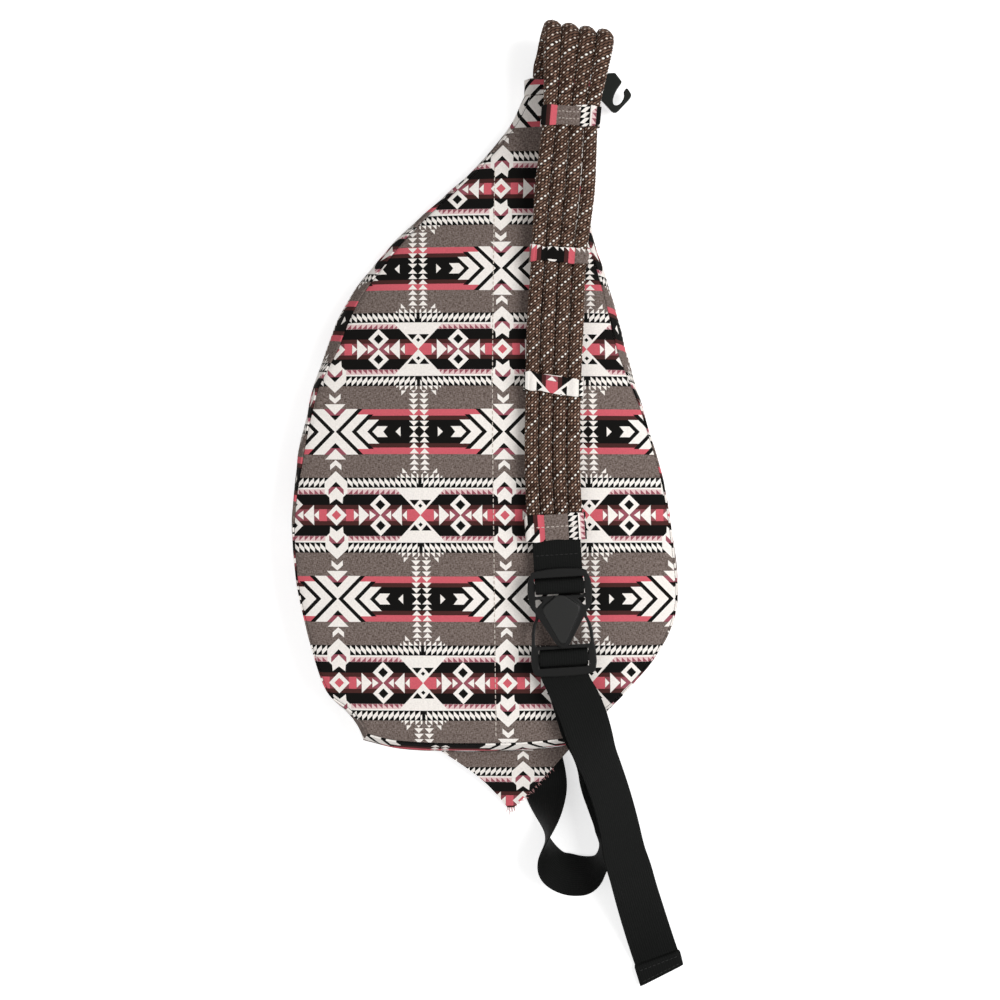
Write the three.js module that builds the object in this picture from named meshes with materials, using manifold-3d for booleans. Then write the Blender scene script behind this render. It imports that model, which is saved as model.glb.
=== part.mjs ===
// A rope sling bag that lies on its front panel, with its padded back panel up. The teardrop body is sewn
// from panels and gussets round one hollow, four ropes leave the neck, fold over and come down the back
// to a cap, and two webbing straps join them to the bottom tab through a hook buckle.
// Millimetres, +X across the bag, +Y towards the neck, +Z up from the floor to the back panel.
import * as THREE from "three";
import { mergeVertices } from "three/addons/utils/BufferGeometryUtils.js";
import Module from "manifold-3d";

const wasm = await Module();
wasm.setup();

// Driving dimensions: clearances and cloth
const GAP = 0.3; // between pieces that are sewn together or lie on each other
const FABRIC = 2; // canvas with its lining
const PAD = 6; // quilted back panel

// Driving dimensions: body
const BODY_WIDTH = 281;
const BODY_TOP = 298; // neck end of the panels, from the origin
const BODY_BOTTOM = -184; // lowest point of the bottom seam, from the origin
const BODY_CENTRE_Y = -20; // middle of the widest part
const NECK_WIDTH = 46;
const NECK_X = 55; // the neck stands to one side, as the strap is worn over one shoulder
const NECK_DEPTH = 19; // height of the back seam at the neck
const BODY_DEPTH = 42; // height of the back seam where the bag is full
const TAPER_LENGTH = 250; // from the neck to where the bag is full
const CROWN = 8; // rise of the back panel above its seam
const BACK_INSET = 8; // back seam inside the widest line of the gusset
const FRONT_INSET = 14; // front seam inside the widest line of the gusset
const BINDING_LENGTH = 11; // band that closes the neck round the ropes
const BINDING_RADIUS = 6;

// Driving dimensions: inner divider, placed by its share of the way across the bag
const DIVIDER_SHARE = 0.5;
const DIVIDER_WALL = 1.2;

// Driving dimensions: ropes, keepers and end cap
const ROPE_COUNT = 4;
const ROPE_DIAMETER = 9.6;
const ROPE_PITCH = 9.9;
const ROPE_SIDES = 10;
const ROPE_STEPS = 44;
const KEEPER_WALL = 1.2;
const KEEPER_LENGTHS = [14, 10, 12];
const CAP_LENGTH = 21;
const CAP_WALL = 1.4;
const CAP_SOCKET = 12; // depth of the ropes in the cap
const CAP_DISTANCE = 67; // middle of the cap from the middle of the buckle
const CAP_RISE = 7; // middle of the cap above the top of the back panel

// Driving dimensions: webbing and tab
const WEBBING_WIDTH = 34;
const WEBBING_THICKNESS = 1.6;
const HEM_LAYERS = 3; // folds sewn at the end of the tail
const TAB_THICKNESS = 3;
const TAB_TIP = new THREE.Vector3(19, -229, 3.2);
const TAB_TIP_WIDTH = 5;
const TAB_BELLY = 1; // how far the tab's edge beside the strap bows out
const TAB_HOLLOW = 9; // how far its other edge bows in

// Driving dimensions: hook buckle, in its own frame with +Y along the strap
const BUCKLE_CENTRE = new THREE.Vector3(54.4, -86, 0);
const BUCKLE_TURN = THREE.MathUtils.degToRad(3.6);
const FRAME_RISE = 7.5; // underside of the lower half above the top of the back panel
const FRAME_THICKNESS = 3.2;
const HOOK_THICKNESS = 3.4;
const PAD_RISE = 1.5; // thumb pad above the hook half
const SLOT_LENGTH = 4; // slots for the webbing, along the strap
const BAR_LENGTH = 4.8; // bars that the webbing turns round, along the strap
const END_BAR_LENGTH = 6.4; // outer bar of each half
const BUCKLE_HALF_LENGTH = 38.2;
const BUCKLE_HALF_WIDTH = 22;
const TOE_LENGTH = 7.4; // hook toe under the catch bar
const TOE_THICKNESS = 1.6;
const TOE_HALF_WIDTH = 8;
const LIP_LENGTH = 4; // neck that carries the toe down past the catch bar
const BUCKLE_BOW = 1.8; // bow of the outer bars
const ARM_BOW = 2.4; // bow of the arms beside the webbing
const RAIL_BOW = 7.2; // how far below the catch bar the frame's rails are fullest
const BUCKLE_CORNER = 4;
const ARM_LENGTH = 11; // from the webbing slots of the hook half to where its tongue narrows
const TONGUE_TIP_HALF_WIDTH = 4.5;
const PAD_HALF_WIDTH = 13;
const CATCH_BAR = 5.2; // lower edge of the bar that the hook catches
const CATCH_LENGTH = 5.4;
const RAIL_WIDTH = 2.4;
const RAIL_FLARE = 3.8; // how much the frame half widens towards its webbing
const WINDOW_RIB = 2.6; // between the frame half's window and its first slot

// Driving dimensions: zips in recessed facings on the front panel
const LEFT_ZIP_X = -72;
const LEFT_ZIP_Y = -5;
const LEFT_ZIP_LENGTH = 210;
const RIGHT_ZIP_X = 66;
const RIGHT_ZIP_Y = -20;
const RIGHT_ZIP_LENGTH = 190;
const ZIPS = [
  { name: "left_zip", x: LEFT_ZIP_X, y: LEFT_ZIP_Y, length: LEFT_ZIP_LENGTH },
  { name: "right_zip", x: RIGHT_ZIP_X, y: RIGHT_ZIP_Y, length: RIGHT_ZIP_LENGTH },
];
const RECESS = 8; // zip above the floor, so that nothing on it meets the floor
const FACING_HALF_WIDTH = 15;
const ZIP_SLOT_HALF_WIDTH = 6.5;
const TAPE_HALF_WIDTH = 12;
const TAPE_THICKNESS = 0.9;
const TAPE_OVERRUN = 9; // tape sewn down past each end of the slot
const COIL_HALF_WIDTH = 3.2;
const COIL_THICKNESS = 2;
const SLIT = 1.4;
const SLIDER_LENGTH = 11;
const SLIDER_HALF_WIDTH = 4.4;
const SLIDER_PLATE = 1.2;
const SLIDER_NOSE = 1.6; // narrowing of each side towards the lower end
const SLIDER_CORNER = 2.5;
const BAIL_WIDTH = 2.6;
const BAIL_LENGTH = 7;
const BAIL_WALL = 1.2;
const BAIL_OPENING = 1.8;
const PULL_LENGTH = 26;
const PULL_HALF_WIDTH = 3.6;
const PULL_THICKNESS = 1.3;
const PULL_TAPER = 0.6;
const PULL_CORNER = 0.8;
const PULL_END = 4; // rounded end, along the pull
const PULL_HOLE_RADIUS = 1.5;
const PULL_HOLE_SETBACK = 4.6;

// Driving dimensions: flat hook beside the neck
const HANGER_THICKNESS = 3;
const HANGER_BASE = 8;

// Materials
const material = (color, roughness) => new THREE.MeshStandardMaterial({ color, roughness, metalness: 0 });
const canvas = material("#5c504b", 0.9);
const lining = material("#3a3634", 0.95);
const ropeYarn = material("#5a4537", 0.9);
const webbing = material("#1b1c1c", 0.8);
const acetal = material("#2c2c2b", 0.45);
const zipTape = material("#242222", 0.85);
const zipMetal = material("#3a3836", 0.4);
const hangerPlastic = material("#2b302c", 0.5);

const bag = new THREE.Group();

function addMesh(name, geometry, look, parent = bag) {
  const mesh = new THREE.Mesh(geometry, look);
  mesh.name = name;
  parent.add(mesh);
  return mesh;
}

// Geometry helpers
function geometryFrom(points, triangles) {
  const geometry = new THREE.BufferGeometry();
  const values = points.flatMap((point) => [point.x, point.y, point.z]);
  geometry.setAttribute("position", new THREE.Float32BufferAttribute(values, 3));
  geometry.setIndex(triangles);
  return geometry;
}

function signedVolume(points, triangles) {
  let volume = 0;
  const cross = new THREE.Vector3();
  for (let k = 0; k < triangles.length; k += 3) {
    const [a, b, c] = [points[triangles[k]], points[triangles[k + 1]], points[triangles[k + 2]]];
    volume += a.dot(cross.crossVectors(b, c)) / 6;
  }
  return volume;
}

// A closed solid between two grids of points of the same size. A ring joins its last row to its first.
function sheetSolid(outer, inner, ring = false) {
  const rows = outer.length;
  const columns = outer[0].length;
  const points = [...outer.flat(), ...inner.flat()];
  const out = (i, j) => (i % rows) * columns + j;
  const back = (i, j) => rows * columns + (i % rows) * columns + j;
  const triangles = [];
  const quad = (a, b, c, d) => triangles.push(a, b, c, a, c, d);
  const lastRow = ring ? rows : rows - 1;
  for (let i = 0; i < lastRow; i++) {
    for (let j = 0; j < columns - 1; j++) {
      quad(out(i, j), out(i + 1, j), out(i + 1, j + 1), out(i, j + 1));
      quad(back(i, j), back(i, j + 1), back(i + 1, j + 1), back(i + 1, j));
    }
    quad(out(i + 1, 0), out(i, 0), back(i, 0), back(i + 1, 0));
    quad(out(i, columns - 1), out(i + 1, columns - 1), back(i + 1, columns - 1), back(i, columns - 1));
  }
  for (let j = 0; !ring && j < columns - 1; j++) {
    quad(out(0, j), out(0, j + 1), back(0, j + 1), back(0, j));
    quad(out(rows - 1, j + 1), out(rows - 1, j), back(rows - 1, j), back(rows - 1, j + 1));
  }
  if (signedVolume(points, triangles) < 0) triangles.reverse();
  return geometryFrom(points, triangles);
}

function toSolid(geometry) {
  const plain = geometry.clone();
  plain.deleteAttribute("normal");
  plain.deleteAttribute("uv");
  const merged = mergeVertices(plain, 1e-3);
  const vertProperties = new Float32Array(merged.attributes.position.array);
  const triVerts = new Uint32Array(merged.index.array);
  return new wasm.Manifold(new wasm.Mesh({ numProp: 3, vertProperties, triVerts }));
}

function fromSolid(solid) {
  const mesh = solid.getMesh();
  const geometry = new THREE.BufferGeometry();
  geometry.setAttribute("position", new THREE.Float32BufferAttribute(mesh.vertProperties, 3));
  geometry.setIndex(Array.from(mesh.triVerts));
  return geometry;
}

// An extruded shape whose outline runs anticlockwise, so that its holes can be drawn either way round.
function extrude(shape, depth, curveSegments = 3) {
  const { shape: outline, holes } = shape.extractPoints(curveSegments);
  const turned = new THREE.Shape(THREE.ShapeUtils.isClockWise(outline) ? outline.reverse() : outline);
  turned.holes = holes.map((hole) => new THREE.Path(hole));
  return new THREE.ExtrudeGeometry(turned, { depth, bevelEnabled: false });
}

// An upright plate: a shape drawn in X and Y, extruded from one height to another.
function plate(shape, low, high, curveSegments = 4) {
  return extrude(shape, high - low, curveSegments).translate(0, 0, low);
}

// A sleeve or bar along Y: a shape drawn in X and Z, extruded from one Y to another.
function alongY(shape, from, to, curveSegments = 3) {
  return extrude(shape, to - from, curveSegments).rotateX(Math.PI / 2).translate(0, to, 0);
}

// A bar across X: a shape drawn in Y and Z, extruded by as much to each side.
function acrossX(shape, halfWidth) {
  return extrude(shape, 2 * halfWidth).rotateX(Math.PI / 2).rotateZ(Math.PI / 2).translate(-halfWidth, 0, 0);
}

function roundedRectangle(halfWidth, halfHeight, radius, target = new THREE.Shape()) {
  const [w, h, r] = [halfWidth, halfHeight, radius];
  target.moveTo(w - r, -h);
  target.absarc(w - r, -h + r, r, -Math.PI / 2, 0, false);
  target.absarc(w - r, h - r, r, 0, Math.PI / 2, false);
  target.absarc(-w + r, h - r, r, Math.PI / 2, Math.PI, false);
  target.absarc(-w + r, -h + r, r, Math.PI, 1.5 * Math.PI, false);
  target.closePath();
  return target;
}

// A line traced through steps, each a point or a control point followed by a point
function trace([start, ...steps]) {
  const path = new THREE.Path();
  path.moveTo(...start);
  for (const step of steps) {
    if (step.length === 2) path.lineTo(...step);
    else path.quadraticCurveTo(...step);
  }
  return path.getPoints(3);
}

// A shape that is alike on both sides of Y, from the steps of its right half
function symmetric(steps) {
  const right = trace(steps);
  const left = right.filter(({ x }) => x > GAP).map(({ x, y }) => new THREE.Vector2(-x, y));
  return new THREE.Shape([...right, ...left.reverse()]);
}

function polygon(corners, target = new THREE.Shape()) {
  target.setFromPoints(corners.map(([x, y]) => new THREE.Vector2(x, y)));
  target.closePath();
  return target;
}

const rectangle = (x0, y0, x1, y1, target) => polygon([[x0, y0], [x1, y0], [x1, y1], [x0, y1]], target);

// Body outline: the widest line of the gusset, as shares of half the width and of the length
const BODY_LENGTH = BODY_TOP - BODY_BOTTOM;
const backTop = BODY_DEPTH + CROWN; // top of the back panel, which the straps lie on
const outlinePoint = ([across, along]) =>
  new THREE.Vector2((across * BODY_WIDTH) / 2, BODY_BOTTOM + along * BODY_LENGTH);
const neckCorner = (side) => new THREE.Vector2(NECK_X + (side * NECK_WIDTH) / 2, BODY_TOP);
const LEFT_SIDE = [
  [0.1, 0.94], [-0.07, 0.886], [-0.477, 0.775], [-0.722, 0.684], [-0.847, 0.593], [-0.945, 0.486],
  [-1, 0.367], [-0.982, 0.276], [-0.92, 0.185], [-0.819, 0.094], [-0.72, 0.0625], [-0.667, 0.04],
  [-0.631, 0.017],
];
const BOTTOM_SIDE = [
  [-0.631, 0.017], [-0.5, 0.007], [-0.33, 0.002], [-0.07, 0], [0.21, 0.002], [0.468, 0.01],
];
const RIGHT_SIDE = [
  [0.553, 0.9], [0.561, 0.8], [0.671, 0.684], [0.748, 0.593], [0.836, 0.502], [0.926, 0.412],
  [0.982, 0.309], [1, 0.232], [0.961, 0.185], [0.865, 0.138], [0.738, 0.094], [0.468, 0.01],
];
const leftCurve = new THREE.SplineCurve([neckCorner(-1), ...LEFT_SIDE.map(outlinePoint)]);
const rightCurve = new THREE.SplineCurve([neckCorner(1), ...RIGHT_SIDE.map(outlinePoint)]);
const bottomCurve = new THREE.SplineCurve(BOTTOM_SIDE.map(outlinePoint));
const spine = new THREE.Line3();
spine.set(new THREE.Vector3(NECK_X, BODY_TOP, 0), new THREE.Vector3(0, BODY_CENTRE_Y, 0));

function seamHeight(y) {
  const along = THREE.MathUtils.smoothstep(BODY_TOP - y, 0, TAPER_LENGTH);
  return NECK_DEPTH + (BODY_DEPTH - NECK_DEPTH) * along;
}

// A point moved from the outline towards the spine of the bag.
function inset(point, distance) {
  const nearest = new THREE.Vector3();
  spine.closestPointToPoint(new THREE.Vector3(point.x, point.y, 0), true, nearest);
  const inward = new THREE.Vector2(nearest.x - point.x, nearest.y - point.y).normalize();
  return point.clone().addScaledVector(inward, distance);
}

const fullness = (point) => seamHeight(point.y) / BODY_DEPTH;
const backSeam = (point) => inset(point, BACK_INSET * fullness(point) + FABRIC + GAP);
const frontSeam = (point) => inset(point, FRONT_INSET * fullness(point) + FABRIC + GAP);
const lift = (point, z) => new THREE.Vector3(point.x, point.y, z);

// Points along a side, from share to share of its length, kept half a gap clear of the next side
function sidePoints(curve, steps, trimStart, trimEnd) {
  const trim = GAP / 2 / curve.getLength();
  const from = trimStart ? trim : 0;
  const to = trimEnd ? 1 - trim : 1;
  return Array.from({ length: steps + 1 }, (_, i) => curve.getPointAt(from + ((to - from) * i) / steps));
}

const SIDE_STEPS = 26;
const BOTTOM_STEPS = 10;
const ACROSS_STEPS = 12;

// Back panel: a patch between its four seams, crowned between them
function patchPoint(u, v) {
  const left = backSeam(leftCurve.getPointAt(v));
  const right = backSeam(rightCurve.getPointAt(v));
  const bottom = backSeam(bottomCurve.getPointAt(u));
  const [topLeft, topRight] = [backSeam(neckCorner(-1)), backSeam(neckCorner(1))];
  const [lowLeft, lowRight] = [backSeam(bottomCurve.getPointAt(0)), backSeam(bottomCurve.getPointAt(1))];
  const top = topLeft.clone().lerp(topRight, u);
  const across = left.clone().lerp(right, u);
  const along = top.clone().lerp(bottom, v);
  const corners = topLeft.lerp(topRight, u).lerp(lowLeft.lerp(lowRight, u), v);
  return across.add(along).sub(corners);
}

function backHeight(u, v) {
  const crown = Math.sqrt(Math.sin(Math.PI * u) * Math.sin(Math.PI * v));
  return seamHeight(patchPoint(u, v).y) + CROWN * crown;
}

function backPanel() {
  const grid = (drop) =>
    Array.from({ length: SIDE_STEPS + 1 }, (_, i) =>
      Array.from({ length: ACROSS_STEPS + 1 }, (_, j) => {
        const [u, v] = [j / ACROSS_STEPS, i / SIDE_STEPS];
        return lift(patchPoint(u, v), backHeight(u, v) - drop);
      }));
  return sheetSolid(grid(0), grid(PAD));
}

// Gusset: a strip that bulges between the back seam and the front seam, as shares of inset and height
const BULGE = [
  { back: 1, front: 0, height: 1 },
  { back: 0.3, front: 0, height: 0.78 },
  { back: 0, front: 0, height: 0.5 },
  { back: 0, front: 0.28, height: 0.2 },
  { back: 0, front: 1, height: 0 },
];

function gusset(points) {
  const rows = (wall) =>
    points.map((point) =>
      BULGE.map(({ back, front, height }) => {
        const distance = (BACK_INSET * back + FRONT_INSET * front) * fullness(point) + wall;
        return lift(inset(point, distance), seamHeight(point.y) * height);
      }));
  return sheetSolid(rows(0), rows(FABRIC));
}

// Front panel: a flat sheet on the floor with one opening for each zip facing
function stadium(halfWidth, length, target) {
  return roundedRectangle(halfWidth, length / 2 + halfWidth, halfWidth, target);
}

function frontPanel() {
  const left = sidePoints(leftCurve, SIDE_STEPS, false, false).map(frontSeam);
  const bottom = sidePoints(bottomCurve, BOTTOM_STEPS, false, false).map(frontSeam);
  const right = sidePoints(rightCurve, SIDE_STEPS, false, false).map(frontSeam).reverse();
  const outline = new THREE.Shape([...left, ...bottom.slice(1), ...right.slice(1)]);
  for (const zip of ZIPS) {
    const hole = stadium(FACING_HALF_WIDTH + GAP, zip.length, new THREE.Path()).getPoints(6);
    outline.holes.push(new THREE.Path(hole.map((point) => point.add(new THREE.Vector2(zip.x, zip.y)))));
  }
  return plate(outline, 0, FABRIC);
}

// Divider between the two compartments, sewn to the front panel and under the back panel
const DIVIDER_FROM = 6; // steps down from the neck
const DIVIDER_TO = SIDE_STEPS - 2;

function divider() {
  const rows = (side) =>
    Array.from({ length: DIVIDER_TO - DIVIDER_FROM + 1 }, (_, i) => {
      const v = (i + DIVIDER_FROM) / SIDE_STEPS;
      const point = patchPoint(DIVIDER_SHARE, v).add(new THREE.Vector2((side * DIVIDER_WALL) / 2, 0));
      const top = backHeight(DIVIDER_SHARE, v) - PAD - GAP;
      return [lift(point, FABRIC + GAP), lift(point, top)];
    });
  return sheetSolid(rows(-1), rows(1));
}

// Band at the neck with one tunnel for the row of ropes
const ropeRowHalfWidth = ((ROPE_COUNT - 1) * ROPE_PITCH + ROPE_DIAMETER) / 2;
const ropeRadius = ROPE_DIAMETER / 2;
const ropeTunnel = (clearance) =>
  roundedRectangle(ropeRowHalfWidth + clearance, ropeRadius + clearance, ropeRadius, new THREE.Path());

function neckBinding() {
  const band = roundedRectangle(NECK_WIDTH / 2, NECK_DEPTH / 2, BINDING_RADIUS);
  band.holes.push(ropeTunnel(GAP));
  return alongY(band, BODY_TOP + GAP, BODY_TOP + GAP + BINDING_LENGTH).translate(NECK_X, 0, NECK_DEPTH / 2);
}

addMesh("back_panel", backPanel(), canvas);
addMesh("left_gusset", gusset(sidePoints(leftCurve, SIDE_STEPS, false, true)), canvas);
addMesh("bottom_gusset", gusset(sidePoints(bottomCurve, BOTTOM_STEPS, true, true)), canvas);
addMesh("right_gusset", gusset(sidePoints(rightCurve, SIDE_STEPS, false, true)), canvas);
addMesh("front_panel", frontPanel(), canvas);
addMesh("divider", divider(), lining);
addMesh("neck_binding", neckBinding(), canvas);

// Bottom tab: a folded triangle that hangs from the widest line of the bottom gusset to the floor
const TAB_ROOT = [0.37, 0.99]; // where its two ends are sewn, as shares along the bottom seam
const TAB_ROWS = 5;
const TAB_COLUMNS = 6;

function bottomTab() {
  const grid = (side) =>
    Array.from({ length: TAB_ROWS + 1 }, (_, i) =>
      Array.from({ length: TAB_COLUMNS + 1 }, (_, j) => {
        const across = j / TAB_COLUMNS;
        const seam = bottomCurve.getPointAt(THREE.MathUtils.lerp(...TAB_ROOT, across));
        const root = lift(inset(seam, -GAP), BODY_DEPTH / 2);
        const tip = TAB_TIP.clone().add(new THREE.Vector3((across - 0.5) * TAB_TIP_WIDTH, 0, 0));
        const down = i / TAB_ROWS;
        const bow = Math.sin(Math.PI * down);
        const [hollow, belly] = [TAB_HOLLOW * (1 - across) * bow, -TAB_BELLY * across * bow];
        return root.lerp(tip, down).add(new THREE.Vector3(hollow, belly, (side * TAB_THICKNESS) / 2));
      }));
  return sheetSolid(grid(1), grid(-1));
}

addMesh("bottom_tab", bottomTab(), canvas);

// Ropes: the route of the middle of the row, each station with its [x, y], its level from the middle of the
// neck (0) to the top of the back panel (100), and the step from each rope to the next across and along
const ROPE_ROUTE = [
  [55, 298.6, 0, 9.9, 0], [55, 304, 0, 9.9, 0], [55, 312, 0, 9.9, 0],
  [57.2, 319, 1.7, 10.8, 0.7], [60.8, 325, 6.2, 11.5, 1.7], [63.8, 332, 14.6, 12.1, 2.2],
  [66, 337, 30.9, 12.4, 2.4], [67.6, 338.8, 53.1, 12.5, 2.4], [68, 336.6, 75.8, 12.5, 2.2],
  [67.6, 330.5, 93.1, 12.4, 1.8], [66.6, 322, 100.5, 12.2, 1.4], [65, 307, 101.5, 11.4, 1],
  [63, 290, 99.5, 10.5, 0.7], [61.4, 273, 97.5, 9.9, 0.5], [57.4, 221.5, 90.1, 10.8, 0.6],
  [53.1, 174, 93.1, 9.9, 0.6], [50.4, 128, 104, 10.2, 0.4], [48.8, 81, 114.3, 9.9, 0.2],
  [48, 40, 118.3, 9.9, -0.1], [48.4, 12, 118.3, 9.9, -0.4],
  [49.2, -4, 117.3, 9.9, -0.62], [50.3, -20.4, 117.3, 9.9, -0.62],
];
const ropeHeight = (level) => THREE.MathUtils.lerp(NECK_DEPTH / 2, backTop, level / 100);

function ropePoint([x, y, level, pitch, lean], rope) {
  const step = rope - (ROPE_COUNT - 1) / 2;
  return new THREE.Vector3(x + step * pitch, y - step * lean, ropeHeight(level));
}

function rope(index) {
  const section = new THREE.Shape();
  section.absarc(0, 0, ropeRadius, 0, 2 * Math.PI, false);
  const extrudePath = new THREE.CatmullRomCurve3(ROPE_ROUTE.map((station) => ropePoint(station, index)));
  const options = { steps: ROPE_STEPS, extrudePath, bevelEnabled: false, curveSegments: ROPE_SIDES / 2 };
  return new THREE.ExtrudeGeometry(section, options);
}

for (let index = 0; index < ROPE_COUNT; index++) addMesh(`rope_${index + 1}`, rope(index), ropeYarn);

// Keepers: loops of canvas round the row of ropes, square to it
const KEEPER_STATIONS = [13, 15, 17];

function keeper(length) {
  const band = roundedRectangle(
    ropeRowHalfWidth + GAP + KEEPER_WALL,
    ropeRadius + GAP + KEEPER_WALL,
    ropeRadius + KEEPER_WALL,
  );
  band.holes.push(ropeTunnel(GAP));
  return alongY(band, -length / 2, length / 2);
}

KEEPER_STATIONS.forEach((station, index) => {
  const middle = new THREE.CatmullRomCurve3(
    ROPE_ROUTE.map(([x, y, level]) => new THREE.Vector3(x, y, ropeHeight(level))),
  );
  const share = station / (ROPE_ROUTE.length - 1);
  const along = middle.getTangent(share).negate();
  const mesh = addMesh(`keeper_${index + 1}`, keeper(KEEPER_LENGTHS[index]), canvas);
  mesh.position.copy(middle.getPoint(share));
  mesh.rotation.set(Math.asin(along.z), 0, Math.atan2(-along.x, along.y), "ZXY");
});

// End cap: a tapered sleeve with a socket for the ropes and a slot for the doubled webbing
const capSocketEnd = CAP_LENGTH / 2 - CAP_SOCKET;
const doubledWebbing = 2 * WEBBING_THICKNESS + 4 * GAP;
const slotHalfWidth = WEBBING_WIDTH / 2 + 2 * GAP;
const capHeight = backTop + CAP_RISE;

function endCap() {
  const [halfWidth, halfHeight] = [ropeRowHalfWidth, ropeRadius].map((half) => half + 2 * GAP + CAP_WALL);
  const wide = roundedRectangle(halfWidth, halfHeight, halfHeight - CAP_WALL);
  const body = toSolid(alongY(wide, -CAP_LENGTH / 2, CAP_LENGTH / 2));
  const side = polygon([
    [CAP_LENGTH / 2, ROPE_DIAMETER], [capSocketEnd, halfHeight],
    [-CAP_LENGTH / 2, doubledWebbing / 2 + CAP_WALL], [-CAP_LENGTH / 2, -doubledWebbing / 2 - CAP_WALL],
    [capSocketEnd, -halfHeight], [CAP_LENGTH / 2, -ROPE_DIAMETER],
  ]);
  const reach = halfWidth + CAP_WALL;
  const taper = toSolid(acrossX(side, reach));
  const socket = new THREE.Shape(ropeTunnel(2 * GAP).getPoints(3));
  const ropes = toSolid(alongY(socket, capSocketEnd, CAP_LENGTH));
  const slot = rectangle(-slotHalfWidth, -doubledWebbing / 2, slotHalfWidth, doubledWebbing / 2);
  const strap = toSolid(alongY(slot, -CAP_LENGTH, capSocketEnd - CAP_WALL));
  return fromSolid(body.intersect(taper).subtract(ropes).subtract(strap));
}

const buckle = new THREE.Group();
buckle.position.copy(BUCKLE_CENTRE);
buckle.rotation.z = BUCKLE_TURN;
bag.add(buckle);
addMesh("rope_end_cap", endCap(), canvas, buckle).position.set(0, CAP_DISTANCE, capHeight);

// Webbing: a flat strip through stations of [x, y, z, heading and tilt of its width in degrees, layers]
function strip(stations, samplesEach) {
  const places = stations.map(([x, y, z]) => new THREE.Vector3(x, y, z));
  const curve = new THREE.CatmullRomCurve3(places, false, "centripetal");
  const spans = stations.length - 1;
  const rows = [[], []];
  for (let k = 0; k <= spans * samplesEach; k++) {
    const at = k / samplesEach;
    const span = Math.min(Math.floor(at), spans - 1);
    const between = (column, plain) =>
      THREE.MathUtils.lerp(stations[span][column] ?? plain, stations[span + 1][column] ?? plain, at - span);
    const [heading, tilt] = [between(3), between(4)].map(THREE.MathUtils.degToRad);
    const thickness = between(5, 1) * WEBBING_THICKNESS;
    const across = new THREE.Vector3(Math.cos(heading), Math.sin(heading), 0).multiplyScalar(Math.cos(tilt));
    across.z = Math.sin(tilt);
    const middle = curve.getPoint(at / spans);
    const normal = curve.getTangent(at / spans).cross(across).normalize();
    [1, -1].forEach((side, layer) => {
      const shifted = middle.clone().addScaledVector(normal, (side * thickness) / 2);
      const edge = (sign) => shifted.clone().addScaledVector(across, (sign * WEBBING_WIDTH) / 2);
      rows[layer].push([edge(-1), edge(1)]);
    });
  }
  return sheetSolid(rows[0], rows[1]);
}

// Bars and slots of the buckle, from the top of the hook half to the end of the frame half
const frameBase = backTop + FRAME_RISE;
const frameTop = frameBase + FRAME_THICKNESS;
const hookBase = frameTop + GAP;
const hookTop = hookBase + HOOK_THICKNESS;
const hookSlot = BUCKLE_HALF_LENGTH - END_BAR_LENGTH; // upper edge of the first slot
const hookBar = hookSlot - SLOT_LENGTH;
const hookSlotEnd = hookBar - BAR_LENGTH - SLOT_LENGTH;
const frameSlotEnd = -BUCKLE_HALF_LENGTH + END_BAR_LENGTH; // lower edge of the last slot
const frameBar = frameSlotEnd + SLOT_LENGTH;
const frameSlot = frameBar + BAR_LENGTH + SLOT_LENGTH;
const turnRise = WEBBING_THICKNESS + GAP; // middle of the webbing above a bar that it turns round

const buckleHeading = THREE.MathUtils.radToDeg(BUCKLE_TURN);
function onBuckle([along, z]) {
  const point = new THREE.Vector3(0, along, 0).applyAxisAngle(new THREE.Vector3(0, 0, 1), BUCKLE_TURN);
  point.add(BUCKLE_CENTRE);
  return [point.x, point.y, z, buckleHeading, 0];
}

// The webbing goes up through the slot above a bar, over the bar and down through the slot below it
function turnRoundBar(barTop, top, base) {
  const barEnd = barTop - BAR_LENGTH;
  const half = SLOT_LENGTH / 2;
  return [
    [barTop + half, base - turnRise], [barTop + half, (base + top) / 2],
    [barTop + half * 0.8, top + turnRise * 0.4], [barTop - half * 0.4, top + turnRise * 0.9],
    [barEnd + half * 0.4, top + turnRise * 0.9], [barEnd - half * 0.8, top + turnRise * 0.4],
    [barEnd - half, (base + top) / 2], [barEnd - half, base - turnRise * 0.6],
  ];
}

const capEnd = CAP_DISTANCE - CAP_LENGTH / 2;
const strapInCap = capEnd + CAP_LENGTH - CAP_SOCKET - CAP_WALL - GAP;
const layerOffset = (WEBBING_THICKNESS + GAP) / 2;
const UPPER_ROUTE = [
  [strapInCap, capHeight + layerOffset], [capEnd, capHeight + layerOffset],
  [hookSlot + END_BAR_LENGTH / 2, hookBase - turnRise],
  ...turnRoundBar(hookBar, hookTop, hookBase),
  [hookBar, hookBase - 3.2 * turnRise], [hookSlot + END_BAR_LENGTH / 2, hookBase - 3 * turnRise],
  [capEnd, capHeight - layerOffset], [strapInCap, capHeight - layerOffset],
];
addMesh("upper_webbing", strip(UPPER_ROUTE.map(onBuckle), 2), webbing);

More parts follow.
